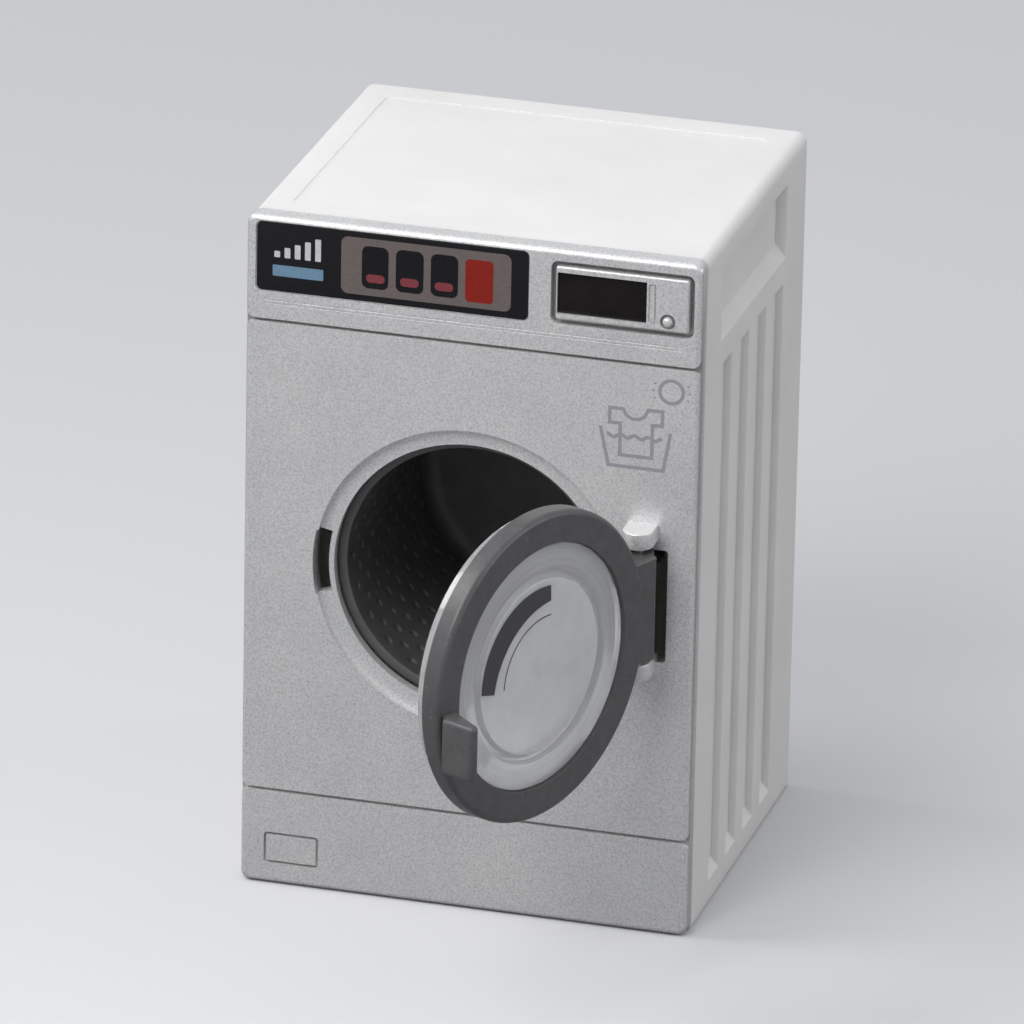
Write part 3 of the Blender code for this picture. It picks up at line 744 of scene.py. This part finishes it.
def grey_plastic():
    """Dark grey plastic with pale scuffs."""
    finish = Finish("grey_plastic", **grey_sockets)
    scuff = finish.noise(*grey_scuff)
    base = finish.ramp(finish.noise(*grey_cloud), tuple(zip(spread, grey_tones)))
    worn = finish.ramp(scuff, tuple(zip(grey_worn_from, ((0, 0, 0), (1, 1, 1)))))
    finish.feed(
        Base_Color=finish.mix(worn, base, grey_worn_colour),
        Roughness=finish.range(scuff, *grey_gloss, *spread),
        Normal=finish.bump(scuff, *grey_relief),
    )
    return finish.material


def clear_plastic():
    """Clear plastic with fine moulding rings around a disc that is worn dull."""
    finish = Finish("clear_plastic", **clear_sockets)
    dull, ringed = finish.marked("dull"), finish.marked("ringed")
    cloud, scuff = finish.noise(*clear_cloud), finish.noise(*clear_scuff)
    rings = finish.add(
        "ShaderNodeTexNoise", [("noise_dimensions", "1D")], W=finish.marked("reach"),
        Scale=1 / clear_ring_size, Detail=clear_ring_detail,
    ).outputs["Fac"]
    tone = finish.ramp(rings, clear_ring_tones)
    pale = finish.ramp(cloud, tuple(zip(spread, clear_tones)))
    bright = finish.range(scuff, *clear_gloss, *clear_gloss_from)
    waves = finish.bump(cloud, *clear_waves)
    ridges = finish.range(ringed, clear_even_level, rings)
    finish.feed(
        Base_Color=finish.mix(ringed, pale, tone),
        Transmission_Weight=finish.range(dull, clear_share, dull_share),
        Roughness=finish.range(dull, bright, dull_gloss),
        Normal=finish.bump(ridges, *clear_ring_relief, Normal=waves),
    )
    return finish.material


# Front panel


def field_line(height):
    """A line between two fields, whose corners it rounds where it runs out at the sides."""
    reach = half_width + cut_over
    turn_x = half_width - line_flare
    top, low = height + line_width / 2 + line_flare, height - line_width / 2 - line_flare
    points = arc((turn_x, top), line_flare, -quarter_turn, 0, round_count)
    points += [(reach, top), (reach, low)]
    points += arc((turn_x, low), line_flare, 0, quarter_turn, round_count)
    points += arc((-turn_x, low), line_flare, quarter_turn, half_turn, round_count)
    points += [(-reach, low), (-reach, top)]
    points += arc((-turn_x, top), line_flare, -half_turn, -quarter_turn, round_count)
    thickness = line_depth + cut_over
    turn = Matrix.Rotation(quarter_turn, 4, "X")
    place = Matrix.Translation((0, front_y + line_depth - thickness / 2, 0)) @ turn
    return placed(outline_shape(points, thickness), place)


def latch_slot():
    start, end = half_turn - latch_half_angle, half_turn + latch_half_angle
    points = arc((0, 0), latch_outer_radius, start, end, curve_count)
    points += arc((0, 0), latch_inner_radius, end, start, curve_count)
    turn = Matrix.Rotation(quarter_turn, 4, "X")
    place = Matrix.Translation((0, front_y + panel_thick / 2, porthole_height)) @ turn
    return placed(outline_shape(points, panel_thick + 2 * cut_over), place)


def lug(low, bore_from, bore_to):
    """A round-nosed lug, bored for one end of the hinge pin."""
    root = front_y - hinge_y + panel_thick / 2
    points = arc((0, 0), lug_radius, -half_turn, 0, nose_count)
    points += [(lug_radius, root), (-lug_radius, root)]
    shape = outline_shape(points, lug_thick)
    round_edges(shape, lies_at("Z", lug_thick / 2), lug_round, round_count)
    placed(shape, Matrix.Translation((hinge_across, hinge_y, low + lug_thick / 2)))
    bore = rod("Z", (hinge_across, hinge_y, 0), bore_from, bore_to, bore_radius, pin_count)
    return merged([worked("lug", shape, [("DIFFERENCE", bore)])])


def panel_work():
    """Everything that is cut into the panel or stands on it, in order."""
    for height in (control_line_height, kick_line_height):
        yield "DIFFERENCE", field_line(height)
    reach = half_width - 2 * panel_corner
    for height, width in flow_lines:
        yield "DIFFERENCE", block(
            (-reach, front_y - cut_over, height - width / 2),
            (reach, front_y + flow_line_depth, height + width / 2),
        )
    label = (label_left, label_right, label_low, label_high, label_corner)
    yield "DIFFERENCE", field(inset(label, -bed_margin), -cut_over, label_bed_depth)
    yield "DIFFERENCE", field(moat_field, -cut_over, moat_depth)
    island = field(inset(moat_field, moat_width), -display_rise, moat_depth + hair)
    round_edges(island, lies_at("Y", front_y - display_rise), display_edge, small_round_count)
    yield "UNION", island
    yield "DIFFERENCE", field(window_field, -cut_over, window_bed_depth)
    yield "DIFFERENCE", field(bar_field, -cut_over, bar_depth - display_rise)
    bar = field(inset(bar_field, bar_groove), -display_rise - hair, bar_depth)
    yield "UNION", bar
    knob_x, knob_z = knob_place
    yield "DIFFERENCE", rod("Y", (knob_x, 0, knob_z), front_y - cut_over,
                            front_y + knob_bed_depth - display_rise, knob_bed_radius, pin_count)
    knob = rod("Y", (knob_x, 0, knob_z), front_y - display_rise - knob_rise,
               front_y + moat_depth, knob_radius, pin_count)
    round_edges(knob, lies_at("Y", front_y - display_rise - knob_rise),
                knob_rise, small_round_count)
    yield "UNION", knob
    yield "DIFFERENCE", field(filter_field, -cut_over, filter_depth)
    cover = field(inset(filter_field, filter_groove), hair, filter_depth + hair)
    yield "UNION", cover
    middle = (0, 0, porthole_height)
    yield "DIFFERENCE", rod("Y", middle, front_y - cut_over, panel_back_y + cut_over,
                            porthole_radius, turn_count)
    yield "DIFFERENCE", rod("Y", middle, front_y - cut_over, front_y + rebate_depth,
                            rebate_radius, turn_count)
    yield "DIFFERENCE", latch_slot()
    yield "DIFFERENCE", field(hinge_slot, -cut_over, panel_thick + cut_over)
    low = hinge_height - lug_span / 2 - lug_thick
    high = hinge_height + lug_span / 2
    yield "UNION", lug(low, low - cut_over, low + lug_thick + cut_over)
    yield "UNION", lug(high, high - cut_over, high + lug_thick / 2)


def mark_painted_shade(mesh):
    """Marks painted shade at each point: the further behind the panel's face it lies, in a groove
    or on a side, the darker, but not on the top, and weaker at and below the kick line.
    """
    painted_shade = mesh.attributes.new("painted_shade", "FLOAT", "POINT")
    for index, vertex in enumerate(mesh.vertices):
        reach = math.hypot(vertex.co.x, vertex.co.z - porthole_height)
        on_top = vertex.co.z > body_height - panel_corner
        if reach > rebate_radius + 2 * panel_soft_edge and not on_top:
            share = (vertex.co.y - front_y - painted_shade_start) / painted_shade_span
            shade = kick_shade if vertex.co.z < kick_line_height + line_width else 1
            painted_shade.data[index].value = min(1, max(0, share)) * shade
    return mesh


def front_panel(material):
    shape = block((-half_width, front_y, panel_lift), (half_width, panel_back_y, body_height))
    round_edges(shape, runs_along("Y"), panel_corner, round_count)
    round_edges(shape, lies_at("Y", front_y), panel_edge, round_count)
    mesh = worked("front_panel", shape, panel_work())
    mesh = mark_painted_shade(evened(softened("front_panel", mesh, panel_soft_edge)))
    return piece("panel", mesh, material, "cabinet", ["front_panel"])


def print_of(name, places, level, material):
    """Printed fields, a print's thickness above what is under them."""
    back, front = film_front + print_thick, film_front - print_thick * level
    shape = merged(mesh_of(field(place, front, back), name) for place in places)
    return piece(name, mesh_of(shape, name), material, "cabinet")


def load_ticks():
    """Five rising ticks, a plain scale for the load."""
    for number, height in enumerate(load_tick_heights):
        left, high = load_tick_left + number * load_tick_pitch, load_tick_low + height
        yield left, left + load_tick_width, load_tick_low, high, load_tick_corner


def control_label():
    place = (label_left, label_right, label_low, label_high, label_corner)
    shape = field(place, film_front, label_bed_depth - hair)
    round_edges(shape, lies_at("Y", front_y + film_front), 2 * hair, small_round_count)
    film, mesh = printed("black_film"), smooth(mesh_of(shape, "control_label"))
    piece("label_film", mesh, film, "cabinet", ["control_label"])
    for name, places, level, ink in (
        ("label_load_bar", [load_bar], 1, "blue_ink"),
        ("label_load_ticks", load_ticks(), 1, "white_ink"),
        ("label_button_field", [button_field], 1, "grey_ink"),
        ("label_buttons", black_buttons, 2, "black_ink"),
        ("label_red_button", [red_button], 2, "red_ink"),
        ("label_lights", button_lights, 3, "pink_ink"),
    ):
        print_of(name, places, level, printed(ink))


def display_window(material):
    shape = field(window_field, window_sink, window_bed_depth - hair)
    round_edges(shape, lies_at("Y", front_y + window_sink), 2 * hair, small_round_count)
    mesh = smooth(mesh_of(shape, "display_window"))
    return piece("display_glass", mesh, material, "cabinet", ["display_window"])


# Printed marks


def stroke(points, width, closed):
    """A flat band along the points, mitred at its corners, in the panel's plane."""
    count = len(points)
    left, right = [], []
    for index, point in enumerate(points):
        here = Vector(point)
        before = Vector(points[index - 1]) if closed or index else None
        after = Vector(points[(index + 1) % count]) if closed or index < count - 1 else None
        sides = []
        if before is not None:
            sides.append((here - before).normalized())
        if after is not None:
            sides.append((after - here).normalized())
        normals = [Vector((-side.y, side.x)) for side in sides]
        middle = sum(normals, Vector((0, 0))).normalized()
        reach = width / 2 / max(middle.dot(normals[0]), mitre_least)
        left.append(here + middle * reach)
        right.append(here - middle * reach)
    shape = bmesh.new()
    front, back = -mark_rise, mark_rise
    rows = [
        [shape.verts.new((point.x, front_y + depth, point.y)) for point in side]
        for side, depth in ((left, front), (right, front), (right, back), (left, back))
    ]
    last = count if closed else count - 1
    for index in range(last):
        ahead = (index + 1) % count
        for row, beside in zip(rows, rows[1:] + rows[:1]):
            shape.faces.new((row[index], row[ahead], beside[ahead], beside[index]))
    if not closed:
        shape.faces.new([row[0] for row in rows])
        shape.faces.new([row[-1] for row in rows])
    return shape


def wave_points():
    steps = wave_count * stroke_count
    for step in range(steps + 1):
        share = step / steps
        across = wave_left + (wave_right - wave_left) * share
        yield across, wave_height + wave_rise * math.cos(share * wave_count * math.tau) / 2


def specks():
    """Small round specks on both sides of the ring."""
    for side in (0, half_turn):
        for number in range(speck_pairs):
            angle = side + (number - (speck_pairs - 1) / 2) * speck_spread
            centre = (
                ring_place[0] + speck_turn * math.cos(angle),
                ring_place[1] + speck_turn * math.sin(angle),
            )
            yield rod("Y", (centre[0], 0, centre[1]), front_y - mark_rise, front_y + mark_rise,
                      speck_radius, stroke_count)


def front_marks(material):
    """A wash tub with a shirt in it, and a tumbling ring above."""
    ring = arc(ring_place, ring_radius, 0, math.tau, ring_count)[:-1]
    parts = [
        stroke(shirt_stroke, mark_width, True),
        stroke(list(wave_points()), mark_width, False),
        stroke(ring, mark_width, True),
        *specks(),
    ]
    mesh = worked("front_marks", stroke(tub_stroke, mark_width, False),
                  [("UNION", part) for part in parts])
    return piece("front_marks", mesh, material, "cabinet")


# Cabinet


def side_hollow(side, middle, length, low, high, depth, slope):
    """A hollow in one side, whose lower end runs out on a slope."""
    inner, outer = half_width - depth, half_width + cut_over
    points = [
        (side * inner, low + slope),
        (side * outer, low - slope * cut_over / depth),
        (side * outer, high + hollow_lip * cut_over / depth),
        (side * inner, high - hollow_lip),
    ]
    turn = Matrix.Rotation(quarter_turn, 4, "X")
    return placed(outline_shape(points, length), Matrix.Translation((0, middle, 0)) @ turn)


def cabinet_work():
    yield "DIFFERENCE", block(
        (side_wall - half_width, cabinet_front_y - cut_over, floor_wall),
        (half_width - side_wall, back_y + cut_over, body_height - top_wall),
    )
    left, right, front, back, corner = top_bed
    bed = block((left, front, body_height - top_bed_depth), (right, back, body_height + cut_over))
    round_edges(bed, runs_along("Z"), corner, round_count)
    yield "DIFFERENCE", bed
    for side in (-1, 1):
        yield "DIFFERENCE", side_hollow(side, 0, pocket_length, pocket_low, pocket_high,
                                        pocket_depth, pocket_slope)
        for number in range(flute_count):
            middle = (number - (flute_count - 1) / 2) * flute_pitch
            yield "DIFFERENCE", side_hollow(side, middle, flute_width, flute_low, flute_high,
                                            flute_depth, flute_slope)


def cabinet(material):
    shape = block((-half_width, cabinet_front_y, 0), (half_width, back_y, body_height))
    lengthwise = runs_along("Y")
    for height, radius, steps in (
        (body_height, cabinet_top_round, round_count), (0, cabinet_foot_round, small_round_count),
    ):
        level = lies_at("Z", height)
        round_edges(shape, lambda edge: lengthwise(edge) and level(edge), radius, steps)
    round_edges(shape, lies_at("Y", back_y), cabinet_back_round, round_count)
    mesh = worked("cabinet_shell", shape, cabinet_work())
    mesh = evened(softened("cabinet_shell", mesh, cabinet_soft_edge))
    return piece("cabinet_case", mesh, material, "cabinet", ["cabinet_shell"])


# Drum


def dimple_tree(material, sizes):
    """A Geometry Nodes tree that rolls a grid of pressed cells into the drum's inner wall."""
    tree = bpy.data.node_groups.new("dimpled_wall", "GeometryNodeTree")
    tree.interface.new_socket("Geometry", in_out="OUTPUT", socket_type="NodeSocketGeometry")
    keys = [
        tree.interface.new_socket(name, in_out="INPUT", socket_type=kind).identifier
        for name, kind, _ in sizes
    ]
    nodes, links = tree.nodes, tree.links
    given = nodes.new("NodeGroupInput").outputs

    def node(kind, **values):
        return filled(nodes.new(kind), links, **values)

    def maths(operation, *values):
        made = nodes.new("ShaderNodeMath")
        made.operation = operation
        for socket, value in zip(made.inputs, values):
            put(links, socket, value)
        return made.outputs[0]

    def pressed(geometry, selection, depth, share):
        """Extrudes each chosen face by itself and shrinks it."""
        extrude = node("GeometryNodeExtrudeMesh", Mesh=geometry, Selection=selection,
                       Offset_Scale=depth, Individual=True).outputs
        scale = node("GeometryNodeScaleElements", Geometry=extrude["Mesh"],
                     Selection=extrude["Top"], Scale=share)
        return scale.outputs["Geometry"], extrude["Top"]

    grid = node(
        "GeometryNodeMeshGrid", Size_X=maths("MULTIPLY", given["Radius"], math.tau),
        Size_Y=given["Length"], Vertices_X=maths("ADD", given["Columns"], 1),
        Vertices_Y=maths("ADD", given["Rows"], 1),
    )
    every_other = maths("MODULO", node("GeometryNodeInputIndex").outputs[0], 2)
    rim, top = pressed(grid.outputs["Mesh"], every_other, 0, given["Dimple share"])
    sunk = maths("MULTIPLY", given["Depth"], -1)
    wall, _ = pressed(rim, top, sunk, given["Floor share"])
    refine = node("GeometryNodeSubdivisionSurface", Mesh=wall, Level=given["Refine"])
    refine.boundary_smooth = "PRESERVE_CORNERS"

    position = node("GeometryNodeInputPosition").outputs[0]
    place = node("ShaderNodeSeparateXYZ", Vector=position).outputs
    angle = maths("DIVIDE", place["X"], given["Radius"])
    radius = maths("SUBTRACT", given["Radius"], place["Z"])
    rolled = node(
        "ShaderNodeCombineXYZ", X=maths("MULTIPLY", maths("COSINE", angle), radius),
        Y=maths("MULTIPLY", maths("SINE", angle), radius), Z=place["Y"],
    )
    roll = node("GeometryNodeSetPosition", Geometry=refine.outputs[0], Position=rolled.outputs[0])
    real = node("GeometryNodeRealizeInstances", Geometry=roll.outputs[0])
    paint = node("GeometryNodeSetMaterial", Geometry=real.outputs[0], Material=material)
    links.new(paint.outputs[0], nodes.new("NodeGroupOutput").inputs[0])
    return tree, keys


def dimpled_wall(material, start, end):
    """The inner wall between two depths, made by the tree."""
    whole, measure = "NodeSocketInt", "NodeSocketFloat"
    sizes = (
        ("Columns", whole, dimple_columns), ("Rows", whole, dimple_rows),
        ("Radius", measure, drum_mouth_radius), ("Length", measure, end - start),
        ("Dimple share", measure, dimple_share), ("Floor share", measure, dimple_floor_share),
        ("Depth", measure, dimple_depth), ("Refine", whole, dimple_refine),
    )
    tree, keys = dimple_tree(material, sizes)
    thing = bench_object("dimpled_wall", bpy.data.meshes.new("dimpled_wall"))
    change = thing.modifiers.new("dimples", "NODES")
    change.node_group = tree
    for key, (_, _, value) in zip(keys, sizes):
        change[key] = value
    mesh = evaluated_mesh(thing)
    bpy.data.objects.remove(thing)
    mesh.transform(Matrix.Translation((0, 0, (start + end) / 2)))
    return mesh


def drum(material):
    wall_start = drum_plain_mouth
    wall_end = drum_length - drum_floor - drum_inner_round
    inner_floor = drum_length - drum_floor
    drum_radius = drum_mouth_radius + drum_wall
    drum_back = drum_length + hub_length
    floor = arc(
        (drum_mouth_radius - drum_inner_round, wall_end), drum_inner_round, 0, quarter_turn,
        round_count,
    )
    floor.append((0, inner_floor))
    shoulder = arc(
        (drum_radius - drum_outer_round, drum_length - drum_outer_round), drum_outer_round,
        quarter_turn, 0, round_count,
    )
    outside = [(0, drum_back - spindle_seat_depth)]
    outside += [(spindle_seat_radius, drum_back - spindle_seat_depth)]
    outside += [(spindle_seat_radius, drum_back), (hub_radius, drum_back)]
    outside += [(hub_radius, drum_length), *shoulder]
    outside += eased(
        [(drum_radius, 2 * drum_lip), (drum_radius, 0), (drum_mouth_radius, 0),
         (drum_mouth_radius, wall_start)],
        drum_lip,
    )
    steps = dimple_columns * 2 ** dimple_refine
    parts = [mesh_of(turned_shape(profile, steps), "drum_part") for profile in (floor, outside)]
    shape = merged([dimpled_wall(material, wall_start, wall_end), *parts])
    bmesh.ops.remove_doubles(shape, verts=shape.verts, dist=seam_reach)
    turn = Matrix.Rotation(-quarter_turn, 4, "X")
    placed(shape, Matrix.Translation((0, drum_mouth_y, porthole_height)) @ turn)
    mesh = smooth(mesh_of(shape, "drum"))
    return piece("drum_cup", mesh, material, "drum_body", ["drum"])


# Door


def swung():
    """From the shut door's own place around its hinge to the open door's place."""
    place = Matrix.Translation((hinge_across, hinge_y, hinge_height))
    return place @ Matrix.Rotation(door_rest_angle, 4, "Z")


def door_face():
    """The middle of the shut door's front face, turned to face forward."""
    turn = Matrix.Rotation(-quarter_turn, 4, "X")
    return Matrix.Translation((-hinge_across, -door_forward, -door_drop)) @ turn


def door_arm():
    front = arm_setback - door_forward
    ring_back = door_thick - door_forward - hair
    points = arc((0, 0), knuckle_radius, -quarter_turn / 2, quarter_turn, curve_count)
    points += [(-arm_heel, ring_back + arm_back), (-arm_heel, ring_back)]
    points += [(-arm_reach, ring_back), (-arm_reach, front)]
    points += arc((-arm_side - arm_corner, front + arm_corner), arm_corner, -quarter_turn, 0,
                  round_count)
    return placed(outline_shape(points, arm_tall), Matrix.Translation((0, 0, arm_lift)))


def door_ring(material):
    rim = arc(
        (door_radius - door_rim_round, door_rim_round), door_rim_round, 0, -quarter_turn,
        round_count,
    )
    profile = [(door_inner_radius, door_thick), (door_radius, door_thick), *rim]
    profile += [(door_inner_radius, 0)]
    ring = placed(turned_shape(profile, turn_count, closed=True), door_face())
    bore = rod("Z", (0, 0, 0), -lug_span, lug_span, bore_radius, pin_count)
    mesh = worked("door_ring", ring, (("UNION", door_arm()), ("DIFFERENCE", bore)))
    mesh = softened("door_ring", mesh, door_soft_edge)
    mesh.transform(swung())
    return piece("door_frame", evened(mesh), material, "door", ["door_ring"])


def door_window(material):
    """The clear window. Its disc is worn dull and the rest is still bright."""
    mesh = mesh_of(turned_shape(eased(window_front_steps, window_ease), turn_count), "door_window")
    reach = mesh.attributes.new("reach", "FLOAT", "POINT")
    for index, vertex in enumerate(mesh.vertices):
        reach.data[index].value = vertex.co.xy.length
    dull = mesh.attributes.new("dull", "FLOAT", "CORNER")
    ringed = mesh.attributes.new("ringed", "FLOAT", "CORNER")
    for face in mesh.polygons:
        in_front = face.center.z < window_worn_depth
        worn = in_front and face.center.xy.length < window_worn_radius
        for corner in face.loop_indices:
            dull.data[corner].value = float(worn)
            ringed.data[corner].value = float(in_front and not worn)
    mesh.transform(swung() @ door_face())
    return piece("door_glass", smooth(mesh), material, "door", ["door_window"])


def door_shade_arcs(material):
    """Thin marks of painted shade on the disc, towards the handle."""
    marks = []
    for edges in shade_arcs:
        points = []
        for centre, radius, start, end in edges:
            points += arc(centre, radius, math.radians(start), math.radians(end), shade_arc_count)
        mark = outline_shape([(across, -up) for across, up in points], shade_arc_thick)
        marks.append(mesh_of(placed(mark, Matrix.Translation((0, 0, shade_arc_depth))), "mark"))
    mesh = mesh_of(placed(merged(marks), swung() @ door_face()), "door_shade_arcs")
    return piece("door_shade_arcs", mesh, material, "door")


def door_handle(material):
    outer, face = -hinge_across - handle_outer, -door_forward - handle_gap
    top, tip = -door_drop - handle_top, face - handle_rise
    points = [(outer, face), (outer, tip), (outer + handle_tip, tip), (outer + handle_root, face)]
    lift = Matrix.Translation((0, 0, top - handle_tall / 2))
    shape = placed(outline_shape(points, handle_tall), lift)
    at_face = lies_at("Y", face)
    round_edges(shape, lambda edge: not at_face(edge), handle_edge, round_count)
    undercut = block(
        (outer - cut_over, face - handle_undercut_rise, top - handle_tall - cut_over),
        (outer + handle_undercut_width, face + cut_over, top + cut_over),
    )
    mesh = worked("door_handle", shape, [("DIFFERENCE", undercut)])
    mesh = softened("door_handle", mesh, door_soft_edge)
    mesh.transform(swung())
    return piece("door_grip", evened(mesh), material, "door", ["door_handle"])


# Studio


def studio_floor():
    """A pale floor that shows pale but throws little light back on the machine."""
    finish = Finish("studio_floor", Roughness=floor_roughness)
    path = finish.add("ShaderNodeLightPath").outputs
    seen = finish.add("ShaderNodeMath", [("operation", "MAXIMUM")])
    for ray, socket in zip(("Is Camera Ray", "Is Transmission Ray"), seen.inputs):
        put(finish.tree.links, socket, path[ray])
    mirrored = finish.mix(path["Is Glossy Ray"], floor_bounce, floor_shine)
    finish.feed(Base_Color=finish.mix(seen.outputs[0], mirrored, floor_pale))
    shape = bmesh.new()
    bmesh.ops.create_grid(shape, x_segments=1, y_segments=1, size=floor_size / 2)
    mesh = mesh_of(shape, "studio_floor")
    mesh.materials.append(finish.material)
    ground = bpy.data.objects.new("studio_floor", mesh)
    bpy.context.scene.collection.objects.link(ground)


def studio_sky():
    world = bpy.data.worlds.new("studio_sky")
    world.use_nodes = True
    back = world.node_tree.nodes["Background"]
    back.inputs["Color"].default_value = sky_colour
    back.inputs["Strength"].default_value = sky_strength
    bpy.context.scene.world = world


def studio_lamps():
    for name, place, aim, size, power in lamps:
        light = bpy.data.lights.new(name, "AREA")
        light.shape = "DISK"
        light.size = size
        light.energy = power
        lamp = bpy.data.objects.new(name, light)
        lamp.location = place
        lamp.rotation_euler = (Vector(aim) - Vector(place)).to_track_quat("-Z", "Y").to_euler()
        bpy.context.scene.collection.objects.link(lamp)


def studio_camera():
    lens = bpy.data.cameras.new("camera")
    lens.lens = camera_lens
    lens.sensor_width = camera_sensor
    lens.clip_start = camera_near
    camera = bpy.data.objects.new("camera", lens)
    turn = Matrix.Rotation(camera_azimuth, 4, "Z")
    turn @= Matrix.Rotation(quarter_turn - camera_fall, 4, "X")
    turn @= Matrix.Rotation(camera_roll, 4, "Z")
    camera.matrix_world = Matrix.Translation(camera_place) @ turn
    bpy.context.scene.collection.objects.link(camera)
    bpy.context.scene.camera = camera


def repaint(frame, name, material):
    """Gives a carried-over CAD node its finish."""
    node = frame["nodes"][name]
    node.data.materials.clear()
    node.data.materials.append(material)


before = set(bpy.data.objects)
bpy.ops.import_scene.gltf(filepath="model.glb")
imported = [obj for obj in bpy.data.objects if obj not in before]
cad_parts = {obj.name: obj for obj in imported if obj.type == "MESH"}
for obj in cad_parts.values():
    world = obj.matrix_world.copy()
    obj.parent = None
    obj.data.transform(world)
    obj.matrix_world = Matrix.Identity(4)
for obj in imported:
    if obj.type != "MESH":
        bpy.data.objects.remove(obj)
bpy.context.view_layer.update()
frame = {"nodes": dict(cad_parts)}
WORKBENCH = new_workbench()
bpy.context.scene.view_settings.view_transform = "Standard"

studio_camera()
studio_floor()
studio_sky()
studio_lamps()

white = plain_finish("white_plastic")
silver = silver_paint()
grey = grey_plastic()
black = plain_finish("black_plastic")
steel = plain_finish("pin_steel")

front_panel(silver)
control_label()
display_window(plain_finish("dark_window"))
front_marks(printed("mark_ink"))
cabinet(white)
drum(black)
door_ring(grey)
door_window(clear_plastic())
# Painted shade on the window's disc
door_shade_arcs(printed("painted_shade_tint"))
door_handle(grey)
repaint(frame, "back_cover", white)
repaint(frame, "hinge_pin", steel)
repaint(frame, "drum_spindle", steel)

bpy.data.collections.remove(WORKBENCH)
